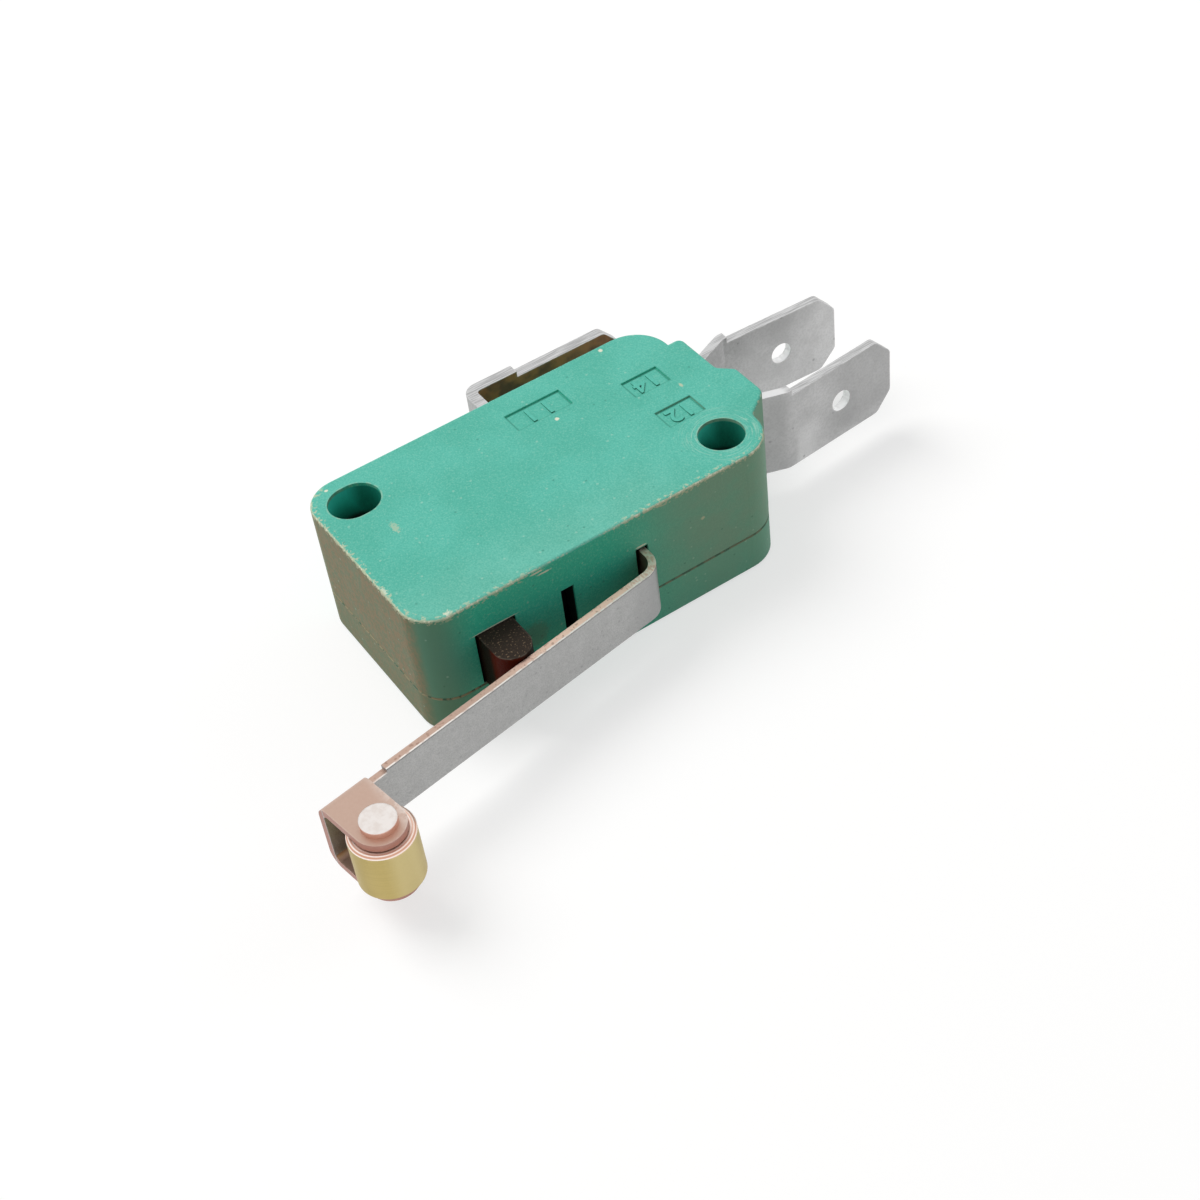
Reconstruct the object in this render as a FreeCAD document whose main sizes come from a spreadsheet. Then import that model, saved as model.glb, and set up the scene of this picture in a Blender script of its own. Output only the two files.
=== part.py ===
"""Lever micro switch with a roller: a snap-action switch in a flat two-part housing.

The switch lies on its cover with +Z up. The origin is on the axis of the round mounting hole, in the
plane of the cover. X runs along the housing towards the two contact tabs, Y runs from the plunger
side to the back, and every length is in millimetres.
"""
import FreeCAD, Part
import math
import os
from types import SimpleNamespace

import Sketcher

os.makedirs("parts", exist_ok=True)
doc = FreeCAD.newDocument("lever_micro_switch")

# Driving dimensions: name, value and what it measures.
DIMENSIONS = [
    # Housing
    ("body_length", 27.8, "housing, left end to right end"),
    ("body_width", 15.9, "housing, plunger side to back"),
    ("body_height", 10.3, "housing, cover face to case face"),
    ("hole_to_edge", 2.8, "each mounting hole to the nearest end and side"),
    ("hole_radius", 1.6, "both mounting holes"),
    ("slot_travel", 0.45, "extra length of the slotted hole"),
    ("boss_wall", 0.95, "plastic round each mounting hole"),
    ("seam_drop", 2.05, "middle of the housing down to the parting plane"),
    ("wall", 1.2, "side walls"),
    ("skin", 1.2, "flat faces of the case and of the cover"),
    ("left_corner", 2.4, "radius of the two left corners"),
    ("right_corner", 2.8, "radius of the two right corners"),
    ("inner_corner", 1.2, "radius of the cavity's corners"),
    ("rim_round", 0.22, "rounded rim of the case face"),
    ("rim_bevel", 0.2, "bevelled rim of the cover face"),
    ("seam_chamfer", 0.1, "bevels that meet at the parting plane"),
    # Guards at the right end
    ("nc_guard", 2.0, "guard of the rest contact's tab, past the right end"),
    ("no_guard", 1.03, "guard of the working contact's tab, past the right end"),
    ("guard_foot", 3.1, "plunger side to the foot of the guard"),
    ("guard_rise", 4.55, "plunger side to the guard's full width"),
    ("guard_fall", 7.7, "plunger side to where the guard steps back"),
    ("guard_end", 3.02, "end of the guards to the back"),
    ("guard_round", 0.5, "rounded corners of the guards"),
    ("guard_tip_round", 1.2, "rounded tip of the rest contact's guard"),
    ("guard_depth", 1.4, "inside of the guards to the right end"),
    # Recessed fields on the case face
    ("field_depth", 0.12, "depth of the three fields"),
    ("com_field_x", 10.13, "round hole to the left side of the long field"),
    ("com_field_y", 9.12, "round hole to the front side of the long field"),
    ("com_field_length", 4.35, "long field, along the housing"),
    ("field_width", 1.85, "fields, across the housing"),
    ("tab_field_x", 2.18, "round hole to the left side of the short fields"),
    ("tab_field_length", 2.88, "short fields, along the housing"),
    ("no_field_y", 6.79, "round hole to the working contact's field"),
    ("nc_field_y", 2.75, "round hole to the rest contact's field"),
    # Lever
    ("hinge_x", 8.58, "round hole to the lever's hinge, along the housing"),
    ("hinge_rod_radius", 0.42, "rolled rod on which the lever turns, behind the wall"),
    ("hinge_rod_length", 5.6, "rod, along the hinge axis"),
    ("slot_pitch", 5.8, "lever slot to the spare lever slot"),
    ("slot_width", 0.98, "lever slots, along the housing"),
    ("slot_offset", 0.06, "middle of the slot to the hinge, room for the turning strip"),
    ("slot_height", 4.3, "lever slots, from the parting plane"),
    ("lever_angle", 8.9, "free angle between the lever and the housing"),
    ("lever_gauge", 0.52, "thickness of the lever"),
    ("lever_width", 3.96, "lever, across the strip"),
    ("lever_stand", 1.8, "plunger side to the corner of the bend"),
    ("lever_bend", 1.15, "inner radius of the bend"),
    ("lever_reach", 27.59, "corner of the bend to the tip of the lever"),
    # Fork and roller
    ("roller_radius", 2.12, "roller"),
    ("roller_width", 4.05, "roller, along its axle"),
    ("roller_bevel", 0.18, "bevelled rims of the roller"),
    ("roller_play", 0.075, "gap between the roller and each ear"),
    ("roller_stand", 3.64, "axle to the middle of the strip"),
    ("ear_width", 3.35, "ears, along the strip"),
    ("fold_radius", 0.5, "inner radius of the folds"),
    ("neck_width", 3.26, "strip between the relief notches"),
    ("neck_length", 1.43, "relief notches, along the strip"),
    ("pin_radius", 0.8, "axle"),
    ("pin_head_radius", 1.16, "heads of the axle"),
    ("pin_head_height", 0.45, "heads of the axle"),
    ("bore_clearance", 0.05, "gap between the axle and the roller"),
    # Plunger
    ("plunger_inset", 5.13, "left end to the plunger"),
    ("plunger_width", 2.64, "plunger and its half-round nose"),
    ("plunger_slot_width", 3.0, "plunger slot, along the housing"),
    ("plunger_slot_height", 4.45, "plunger slot, from the parting plane"),
    ("plunger_play", 0.12, "gap above and below the plunger"),
    ("touch_gap", 0.05, "gap where pieces rest on each other"),
    ("flange_width", 4.3, "stop flange of the plunger"),
    ("flange_depth", 1.1, "stop flange of the plunger, along its travel"),
    ("stem_width", 1.6, "stem and foot of the plunger"),
    ("plunger_travel", 1.52, "full travel of the plunger"),
    ("guide_depth", 1.25, "guide of the stem, along the travel"),
    ("guide_wall", 1.8, "each side of the guide"),
    ("guide_play", 0.1, "gap between the stem and its guide"),
    # Terminals
    ("tab_width", 6.35, "tabs, across"),
    ("tab_gauge", 0.65, "thickness of the two contact terminals"),
    ("tab_bevel_long", 1.3, "cut tab corners, along the tab"),
    ("tab_bevel_wide", 1.4, "cut tab corners, across the tab"),
    ("tab_round", 0.6, "rounded edges of the cut corners"),
    ("tab_hole_radius", 0.82, "hole in each tab"),
    ("tab_hole_inset", 4.7, "hole to the end of the tab"),
    ("root_play", 0.3, "gap between the terminals and the flat face inside the case"),
    ("terminal_play", 0.05, "gap round the terminals in their slots"),
    ("terminal_bend", 0.4, "inner radius of the slight bends"),
    ("nc_y", 2.97, "round hole to the rest contact's terminal"),
    ("nc_root_angle", 19.5, "turn of its root towards the plunger side"),
    ("nc_root_length", 1.98, "root, bend to bend"),
    ("nc_tab_angle", 4.7, "tab, turned away from the plunger side"),
    ("no_y", 8.62, "round hole to the working contact's terminal"),
    ("no_root_angle", 23.3, "turn of its root towards the back"),
    ("no_root_length", 3.13, "root, bend to bend"),
    ("no_tab_angle", 2.7, "tab, turned towards the plunger side"),
    ("tab_length", 9.57, "bend to the end of the two contact tabs"),
    ("bend_stand", 0.22, "guard to the first bend"),
    ("arm_length", 6.9, "terminals inside the guards"),
    ("com_x", 9.82, "round hole to the common terminal's plate"),
    ("com_gauge", 0.85, "thickness of the common terminal"),
    ("com_stand", 3.5, "back of the housing to the middle of its tab"),
    ("com_bend", 0.28, "inner radius of its right-angle bend"),
    ("com_shoulder", 3.75, "bend to the narrower tab"),
    ("com_tab_end", 12.37, "bend to the end of the tab"),
    ("com_block", 1.8, "housing each side of the common terminal"),
    # Snap mechanism
    ("blade_gauge", 0.4, "thickness of the blade and the toggle"),
    ("blade_play", 0.7, "gap between blade or toggle and the flat faces inside"),
    ("window_width", 3.5, "opening for the spring"),
    ("blade_y", 5.35, "round hole to the blade at rest"),
    ("blade_length", 9.4, "knife edge to the tip of the blade"),
    ("blade_bar", 3.7, "blade beyond its opening"),
    ("blade_tip_width", 3.4, "blade at the contact"),
    ("contact_inset", 1.4, "middle of the contacts to the tip of the blade"),
    ("contact_radius", 1.25, "contacts"),
    ("contact_head", 0.5, "each head of the moving contact"),
    ("contact_shank", 0.7, "radius of the moving contact's shank"),
    ("contact_gap", 0.95, "open distance between the contacts"),
    ("toggle_rise", 0.6, "blade pivot to toggle pivot, across the housing"),
    ("toggle_angle", 9.9, "rest angle of the toggle"),
    ("toggle_past", 0.98, "toggle beyond the middle of the plunger"),
    ("toggle_bar", 2.75, "toggle beyond its opening"),
    ("edge_groove", 0.05, "gap round each knife edge in its groove"),
    ("plate_end", 1.45, "blade to the inner end of the common terminal's plate"),
    ("plate_window", 3.2, "blade to the end of the plate's opening"),
    ("spring_radius", 1.05, "coil of the spring, to the middle of its wire"),
    ("wire_radius", 0.15, "wire of the spring"),
    ("spring_turns", 5, "turns of the spring"),
    ("spring_leg", 1.2, "straight end of the spring"),
    ("hook_gap", 0.15, "end of the spring to the piece that it pulls"),
]

sheet = doc.addObject("Spreadsheet::Sheet", "sizes")
for row, (name, value, note) in enumerate(DIMENSIONS, start=1):
    sheet.set("A%d" % row, name)
    sheet.set("B%d" % row, str(value))
    sheet.set("C%d" % row, note)
    sheet.setAlias("B%d" % row, name)
doc.recompute()


class Size:
    """A length or an angle in degrees: its value, and the expression that ties it to the sheet."""

    def __init__(self, value, text):
        self.value = value
        self.text = text

    def __add__(self, other):
        other = size(other)
        return Size(self.value + other.value, "(%s + %s)" % (self.text, other.text))

    def __sub__(self, other):
        other = size(other)
        return Size(self.value - other.value, "(%s - %s)" % (self.text, other.text))

    def __mul__(self, other):
        other = size(other)
        return Size(self.value * other.value, "(%s * %s)" % (self.text, other.text))

    def __truediv__(self, other):
        other = size(other)
        return Size(self.value / other.value, "(%s / %s)" % (self.text, other.text))

    def __neg__(self):
        return Size(-self.value, "(0 - %s)" % self.text)

    def __radd__(self, other):
        return size(other) + self

    def __rsub__(self, other):
        return size(other) - self

    def __rmul__(self, other):
        return size(other) * self


def size(value):
    """A plain number as a Size; a Size stays as it is."""
    return value if isinstance(value, Size) else Size(float(value), repr(float(value)))


def cos(angle):
    angle = size(angle)
    return Size(math.cos(math.radians(angle.value)), "cos(%s)" % angle.text)


def sin(angle):
    angle = size(angle)
    return Size(math.sin(math.radians(angle.value)), "sin(%s)" % angle.text)


def turned(x, y, angle):
    """The vector (x, y) turned about Z."""
    return x * cos(angle) - y * sin(angle), x * sin(angle) + y * cos(angle)


d = SimpleNamespace(**{name: Size(value, "sizes." + name) for name, value, note in DIMENSIONS})


# Bodies and features

def new_body(name):
    body = doc.addObject("PartDesign::Body", name)
    body.Label = name
    return body


def place(body, x, y, z=0, angle=0):
    """Puts a body that is drawn in its own frame at (x, y, z), turned about Z."""
    body.Placement = FreeCAD.Placement(FreeCAD.Vector(0, 0, 0), FreeCAD.Rotation(FreeCAD.Vector(0, 0, 1), 1))
    for path, amount in (("Base.x", x), ("Base.y", y), ("Base.z", z), ("Rotation.Angle", angle)):
        body.setExpression("Placement." + path, size(amount).text)


def origin_part(body, role):
    return next(f for f in body.Origin.OriginFeatures if f.Role == role)


def new_sketch(body, name, role="XY_Plane", lift=0):
    """A sketch on one of the body's own planes, lifted along the plane's normal."""
    sketch = body.newObject("Sketcher::SketchObject", name)
    sketch.AttachmentSupport = [(origin_part(body, role), "")]
    sketch.MapMode = "FlatFace"
    sketch.setExpression("AttachmentOffset.Base.z", size(lift).text)
    return sketch


def tie(sketch, kind, geometry, position, amount):
    """Holds one coordinate of a point, measured from the sketch's origin, at a size."""
    amount = size(amount)
    index = sketch.addConstraint(Sketcher.Constraint(kind, -1, 1, geometry, position, amount.value))
    sketch.setExpression("Constraints[%d]" % index, amount.text)


def polygon(sketch, corners):
    """Draws a closed outline and ties each corner."""
    corners = [(size(x), size(y)) for x, y in corners]
    points = [FreeCAD.Vector(x.value, y.value, 0) for x, y in corners]
    first = sketch.GeometryCount
    count = len(points)
    for k in range(count):
        sketch.addGeometry(Part.LineSegment(points[k], points[(k + 1) % count]))
    for k in range(count):
        after = first + (k + 1) % count
        sketch.addConstraint(Sketcher.Constraint("Coincident", first + k, 2, after, 1))
    for k, (x, y) in enumerate(corners):
        tie(sketch, "DistanceX", first + k, 1, x)
        tie(sketch, "DistanceY", first + k, 1, y)


def rectangle(sketch, left, low, right, high):
    polygon(sketch, [(left, low), (right, low), (right, high), (left, high)])


def circle(sketch, x, y, radius):
    x, y, radius = size(x), size(y), size(radius)
    centre = FreeCAD.Vector(x.value, y.value, 0)
    index = sketch.addGeometry(Part.Circle(centre, FreeCAD.Vector(0, 0, 1), radius.value))
    tie(sketch, "DistanceX", index, 3, x)
    tie(sketch, "DistanceY", index, 3, y)
    limit = sketch.addConstraint(Sketcher.Constraint("Radius", index, radius.value))
    sketch.setExpression("Constraints[%d]" % limit, radius.text)


def long_hole(sketch, x, y, travel, radius):
    """Draws a slot along X with round ends: two arcs and two lines, tangent at their ends."""
    half = travel / 2
    up = FreeCAD.Vector(0, 0, 1)
    left = Part.Circle(FreeCAD.Vector((x - half).value, y.value, 0), up, radius.value)
    right = Part.Circle(FreeCAD.Vector((x + half).value, y.value, 0), up, radius.value)
    arcs = (Part.ArcOfCircle(left, math.pi / 2, 3 * math.pi / 2),
            Part.ArcOfCircle(right, -math.pi / 2, math.pi / 2))
    west = sketch.addGeometry(arcs[0])
    south = sketch.addGeometry(Part.LineSegment(arcs[0].EndPoint, arcs[1].StartPoint))
    east = sketch.addGeometry(arcs[1])
    north = sketch.addGeometry(Part.LineSegment(arcs[1].EndPoint, arcs[0].StartPoint))
    for one, other in ((west, south), (south, east), (east, north), (north, west)):
        sketch.addConstraint(Sketcher.Constraint("Tangent", one, 2, other, 1))
    sketch.addConstraint(Sketcher.Constraint("Equal", west, east))
    tie(sketch, "DistanceX", west, 3, x - half)
    tie(sketch, "DistanceY", west, 3, y)
    tie(sketch, "DistanceX", east, 3, x + half)
    tie(sketch, "DistanceY", east, 3, y)
    limit = sketch.addConstraint(Sketcher.Constraint("Radius", west, radius.value))
    sketch.setExpression("Constraints[%d]" % limit, radius.text)


def extrude(body, sketch, length, cut=False, back=False, middle=False):
    """Pads or pockets a sketch, and makes sure that the solid grew or shrank by it."""
    doc.recompute()
    before = body.Shape.Volume if body.Tip else 0
    kind = "Pocket" if cut else "Pad"
    feature = body.newObject("PartDesign::" + kind, sketch.Name + "_" + kind.lower())
    feature.Profile = sketch
    feature.Reversed = back
    feature.Midplane = middle
    feature.setExpression("Length", size(length).text)
    doc.recompute()
    change = body.Shape.Volume - before
    if (change >= 0) if cut else (change <= 0):
        raise RuntimeError("%s changed the volume by %.4f" % (feature.Name, change))
    return feature


def spin(body, sketch, axis="Z_Axis"):
    """Revolves a sketch all the way round one of the body's own axes."""
    feature = body.newObject("PartDesign::Revolution", sketch.Name + "_revolution")
    feature.Profile = sketch
    feature.ReferenceAxis = (origin_part(body, axis), [""])
    feature.Angle = 360
    doc.recompute()
    return feature


def dress(body, kind, name, chosen, amount):
    """Rounds or bevels the edges for which chosen(edge) holds."""
    base = body.Tip
    edges = ["Edge%d" % (k + 1) for k, edge in enumerate(base.Shape.Edges) if chosen(edge)]
    if not edges:
        raise RuntimeError("%s finds no edge" % name)
    feature = body.newObject("PartDesign::" + kind, name)
    feature.Base = (base, edges)
    feature.setExpression("Radius" if kind == "Fillet" else "Size", size(amount).text)
    doc.recompute()
    return feature


NEAR = 1e-4


def flat_at(level):
    """Chooses the edges that lie wholly at one height."""
    level = size(level).value
    return lambda edge: abs(edge.BoundBox.ZMin - level) < NEAR and abs(edge.BoundBox.ZMax - level) < NEAR


def upright_at(corners):
    """Chooses the upright edges that stand on the given corners."""
    spots = [(size(x).value, size(y).value) for x, y in corners]

    def chosen(edge):
        box = edge.BoundBox
        return box.XLength < NEAR and box.YLength < NEAR and any(
            abs(box.XMin - x) < NEAR and abs(box.YMin - y) < NEAR for x, y in spots)
    return chosen


def along_x_at(y, z):
    """Chooses the edges that run along X at the given Y and Z."""
    y, z = size(y).value, size(z).value

    def chosen(edge):
        box = edge.BoundBox
        return (box.XLength > NEAR and box.YLength < NEAR and box.ZLength < NEAR
                and abs(box.YMin - y) < NEAR and abs(box.ZMin - z) < NEAR)
    return chosen


def strip(start, runs, gauge):
    """The plan outline of bent sheet: (left side, right side) of a path of (angle, length) runs."""
    half = gauge / 2
    angles = [size(angle) for angle, length in runs]
    spots = [(size(start[0]), size(start[1]))]
    for angle, length in runs:
        x, y = spots[-1]
        spots.append((x + length * cos(angle), y + length * sin(angle)))
    left, right = [], []
    for k, (x, y) in enumerate(spots):
        before = angles[max(k - 1, 0)]
        after = angles[min(k, len(angles) - 1)]
        middle = (before + after) / 2
        reach = half / cos((after - before) / 2)
        left.append((x - reach * sin(middle), y + reach * cos(middle)))
        right.append((x + reach * sin(middle), y - reach * cos(middle)))
    return left, right


# Housing: shared outline and places

right_end = d.hole_to_edge
left_end = d.hole_to_edge - d.body_length
front = -d.hole_to_edge
back = d.body_width - d.hole_to_edge
slotted_x = left_end + d.hole_to_edge
slotted_y = back - d.hole_to_edge
case_top = d.body_height
mid_height = d.body_height / 2
seam_z = mid_height - d.seam_drop
cavity_top = d.body_height - d.skin
nc_guard_face = right_end + d.nc_guard
no_guard_face = right_end + d.no_guard
guard_foot = front + d.guard_foot
guard_rise = front + d.guard_rise
guard_fall = front + d.guard_fall
guard_step = guard_fall + (nc_guard_face - no_guard_face)
guard_top = back - d.guard_end
terminal_low = mid_height - d.tab_width / 2
terminal_high = cavity_top - d.root_play

LEFT_CORNERS = [(left_end, front), (left_end, back)]
RIGHT_CORNERS = [(right_end, front), (right_end, back)]
FOOT_CORNER = (right_end, guard_foot)
TIP_CORNER = (nc_guard_face, guard_rise)
GUARD_CORNERS = [(nc_guard_face, guard_fall), (no_guard_face, guard_step), (no_guard_face, guard_top)]
OUTLINE = [LEFT_CORNERS[0], RIGHT_CORNERS[0], FOOT_CORNER, TIP_CORNER, *GUARD_CORNERS,
           (right_end, guard_top), RIGHT_CORNERS[1], LEFT_CORNERS[1]]

inner_left = left_end + d.wall
inner_right = right_end - d.guard_depth
inner_front = front + d.wall
inner_back = back - d.wall
CAVITY = [(inner_left, inner_front), (inner_right, inner_front), (inner_right, inner_back),
          (inner_left, inner_back)]

hinge_x = -d.hinge_x
hinge_y = inner_front + d.touch_gap + d.hinge_rod_radius
slot_x = hinge_x - d.slot_offset
spare_x = slot_x - d.slot_pitch
plunger_x = left_end + d.plunger_inset
com_x = -d.com_x
blade_y = d.blade_y


def housing_shell(name, low, high):
    """One half of the housing as a solid: the outline with rounded corners."""
    body = new_body(name)
    outline = new_sketch(body, name + "_outline", lift=low)
    polygon(outline, OUTLINE)
    extrude(body, outline, high - low)
    dress(body, "Fillet", name + "_left_corners", upright_at(LEFT_CORNERS), d.left_corner)
    dress(body, "Fillet", name + "_right_corners", upright_at(RIGHT_CORNERS), d.right_corner)
    rounded = upright_at([FOOT_CORNER, *GUARD_CORNERS])
    dress(body, "Fillet", name + "_guard_corners", rounded, d.guard_round)
    dress(body, "Fillet", name + "_guard_tip", upright_at([TIP_CORNER]), d.guard_tip_round)
    dress(body, "Chamfer", name + "_seam", flat_at(seam_z), d.seam_chamfer)
    return body


def hollow(body, depth, up):
    """Hollows a half from the parting plane and leaves a boss round each mounting hole."""
    cavity = new_sketch(body, body.Name + "_cavity", lift=seam_z)
    polygon(cavity, CAVITY)
    extrude(body, cavity, depth, cut=True, back=up)
    dress(body, "Fillet", body.Name + "_cavity_corners", upright_at(CAVITY), d.inner_corner)
    bosses = new_sketch(body, body.Name + "_bosses", lift=seam_z)
    circle(bosses, 0, 0, d.hole_radius + d.boss_wall)
    circle(bosses, slotted_x, slotted_y, d.hole_radius + d.boss_wall)
    extrude(body, bosses, depth, back=not up)


def bore_mounting_holes(body, low, high):
    holes = new_sketch(body, body.Name + "_holes", lift=high)
    circle(holes, 0, 0, d.hole_radius)
    long_hole(holes, slotted_x, slotted_y, d.slot_travel, d.hole_radius)
    extrude(body, holes, high - low, cut=True)


def cut_terminal_slots(body, depth, up):
    """Cuts the three slots through which the terminals leave, from the parting plane."""
    half = d.tab_gauge / 2 + d.terminal_play
    com_half = d.com_gauge / 2 + d.terminal_play
    past = d.wall
    slots = new_sketch(body, body.Name + "_terminal_slots", lift=seam_z)
    rectangle(slots, inner_right - past, d.nc_y - half, nc_guard_face + past, d.nc_y + half)
    rectangle(slots, inner_right - past, d.no_y - half, no_guard_face + past, d.no_y + half)
    rectangle(slots, com_x - com_half, inner_back - d.com_block - past, com_x + com_half, back + past)
    extrude(body, slots, depth, cut=True, back=up)


def make_case():
    """The upper half, with the plunger guide, the lever slots and three recessed fields."""
    body = housing_shell("case", seam_z, case_top)
    dress(body, "Fillet", "case_rim", flat_at(case_top), d.rim_round)
    depth = cavity_top - seam_z
    hollow(body, depth, up=True)

    ribs = new_sketch(body, "case_ribs", lift=seam_z)
    guide_front = inner_front + d.touch_gap + d.flange_depth + d.plunger_travel + d.touch_gap
    inner = d.stem_width / 2 + d.guide_play
    for side in (-1, 1):
        near, far = plunger_x + side * inner, plunger_x + side * (inner + d.guide_wall)
        left, right = (far, near) if side < 0 else (near, far)
        rectangle(ribs, left, guide_front, right, guide_front + d.guide_depth)
    block_front = hinge_y + d.hinge_rod_radius + d.touch_gap
    for x in (spare_x, slot_x):
        rectangle(ribs, x - d.wall, block_front, x + d.wall, block_front + d.wall)
    rectangle(ribs, com_x - d.com_block, inner_back - d.com_block,
              com_x + d.com_block, inner_back + d.wall / 2)
    extrude(body, ribs, depth)

    slots = new_sketch(body, "case_front_slots", "XZ_Plane", -front)
    low = seam_z
    rectangle(slots, plunger_x - d.plunger_slot_width / 2, low,
              plunger_x + d.plunger_slot_width / 2, low + d.plunger_slot_height)
    for x in (spare_x, slot_x):
        rectangle(slots, x - d.slot_width / 2, low, x + d.slot_width / 2, low + d.slot_height)
    extrude(body, slots, d.wall, cut=True)

    cut_terminal_slots(body, terminal_high + d.terminal_play - seam_z, up=True)
    bore_mounting_holes(body, seam_z, case_top)

    fields = new_sketch(body, "case_fields", lift=case_top)
    rectangle(fields, -d.com_field_x, d.com_field_y, d.com_field_length - d.com_field_x,
              d.com_field_y + d.field_width)
    for y in (d.no_field_y, d.nc_field_y):
        rectangle(fields, -d.tab_field_x, y, d.tab_field_length - d.tab_field_x, y + d.field_width)
    extrude(body, fields, d.field_depth, cut=True)
    return body


def make_cover():
    """The lower half: a shallow tray that closes the case at the parting plane."""
    body = housing_shell("cover", size(0), seam_z)
    dress(body, "Chamfer", "cover_rim", flat_at(0), d.rim_bevel)
    hollow(body, seam_z - d.skin, up=False)
    cut_terminal_slots(body, seam_z - terminal_low + d.terminal_play, up=False)
    bore_mounting_holes(body, size(0), seam_z)
    return body


# Lever, roller and axle: drawn in the frame of the strip, which runs along -X from the hinge

lever_drop = hinge_y - front + d.lever_stand
bend_x = -lever_drop * sin(d.lever_angle)
bend_y = -lever_drop * cos(d.lever_angle)
tip_x = bend_x - d.lever_reach
ear_right = tip_x + d.ear_width
axle_x = tip_x + d.ear_width / 2
axle_y = bend_y - d.roller_stand
fork_inside = d.roller_width + 2 * d.roller_play
fork_low = mid_height - fork_inside / 2 - d.lever_gauge
fork_high = mid_height + fork_inside / 2 + d.lever_gauge
axle_turned = turned(axle_x, axle_y, d.lever_angle)
axle_place = (hinge_x + axle_turned[0], hinge_y + axle_turned[1])


def band(body, name, outline, width):
    """Pads a plan outline by a width that is centred on the strip."""
    sketch = new_sketch(body, name, lift=mid_height - width / 2)
    polygon(sketch, outline)
    extrude(body, sketch, width)


def make_lever():
    """The bent strip, with its hinge rod at one end and the fork for the roller at the other."""
    body = new_body("lever")
    half = d.lever_gauge / 2
    low, high = bend_y - half, bend_y + half
    band(body, "lever_web", [(tip_x, low), (ear_right, low), (ear_right, high), (tip_x, high)],
         fork_high - fork_low)
    for name, level in (("lower", fork_low), ("upper", fork_high - d.lever_gauge)):
        ear = new_sketch(body, "lever_%s_ear" % name, lift=level)
        rectangle(ear, tip_x, axle_y, ear_right, bend_y)
        extrude(body, ear, d.lever_gauge)
        end = new_sketch(body, "lever_%s_ear_end" % name, lift=level)
        circle(end, axle_x, axle_y, d.ear_width / 2)
        extrude(body, end, d.lever_gauge)
    inside = [along_x_at(low, fork_low + d.lever_gauge), along_x_at(low, fork_high - d.lever_gauge)]
    outside = [along_x_at(high, fork_low), along_x_at(high, fork_high)]
    dress(body, "Fillet", "lever_folds_inside", lambda e: any(test(e) for test in inside), d.fold_radius)
    dress(body, "Fillet", "lever_folds_outside", lambda e: any(test(e) for test in outside),
          d.fold_radius + d.lever_gauge)

    strip_end = ear_right + d.neck_length
    band(body, "lever_neck", [(ear_right, low), (strip_end, low), (strip_end, high), (ear_right, high)],
         d.neck_width)
    left, right = strip((0, 0), [(270 - d.lever_angle, lever_drop), (180, bend_x - strip_end)], d.lever_gauge)
    band(body, "lever_strip", left + right[::-1], d.lever_width)
    dress(body, "Fillet", "lever_bend_inside", upright_at([right[1]]), d.lever_bend)
    dress(body, "Fillet", "lever_bend_outside", upright_at([left[1]]), d.lever_bend + d.lever_gauge)
    rod = new_sketch(body, "lever_hinge_rod", lift=mid_height - d.hinge_rod_length / 2)
    circle(rod, 0, 0, d.hinge_rod_radius)
    extrude(body, rod, d.hinge_rod_length)

    holes = new_sketch(body, "lever_axle_holes", lift=fork_high)
    circle(holes, axle_x, axle_y, d.pin_radius)
    extrude(body, holes, fork_high - fork_low, cut=True)
    place(body, hinge_x, hinge_y, 0, d.lever_angle)
    return body


def make_roller():
    """The roller, with bevelled rims and a plain bore."""
    body = new_body("roller")
    profile = new_sketch(body, "roller_profile", "XZ_Plane")
    half, bore = d.roller_width / 2, d.pin_radius + d.bore_clearance
    rim = d.roller_radius - d.roller_bevel
    polygon(profile, [(bore, -half), (rim, -half), (d.roller_radius, d.roller_bevel - half),
                      (d.roller_radius, half - d.roller_bevel), (rim, half), (bore, half)])
    spin(body, profile)
    place(body, *axle_place, mid_height)
    return body


def make_roller_pin():
    """The riveted axle, with a flat head outside each ear."""
    body = new_body("roller_pin")
    profile = new_sketch(body, "pin_profile", "XZ_Plane")
    half = (fork_high - fork_low) / 2
    end = half + d.pin_head_height
    polygon(profile, [(0, -end), (d.pin_head_radius, -end), (d.pin_head_radius, -half), (d.pin_radius, -half),
                      (d.pin_radius, half), (d.pin_head_radius, half), (d.pin_head_radius, end), (0, end)])
    spin(body, profile)
    place(body, *axle_place, mid_height)
    return body


# Plunger: drawn about the middle of its half-round nose

strip_slope = sin(d.lever_angle) / cos(d.lever_angle)
strip_face_y = (hinge_y - lever_drop + d.lever_gauge / 2 / cos(d.lever_angle)
                - (hinge_x - plunger_x) * strip_slope)
nose_y = strip_face_y + (d.plunger_width / 2 + d.touch_gap) / cos(d.lever_angle)
pivot_x = com_x - d.com_gauge / 2
pivot_y = blade_y + d.toggle_rise
toggle_slope = sin(d.toggle_angle) / cos(d.toggle_angle)
toggle_length = pivot_x - plunger_x + d.toggle_past
toggle_window = toggle_length - d.toggle_bar
foot_y = (pivot_y - (pivot_x - plunger_x) * toggle_slope
          - (d.blade_gauge / 2 + d.stem_width / 2 + d.touch_gap) / cos(d.toggle_angle))


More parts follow.
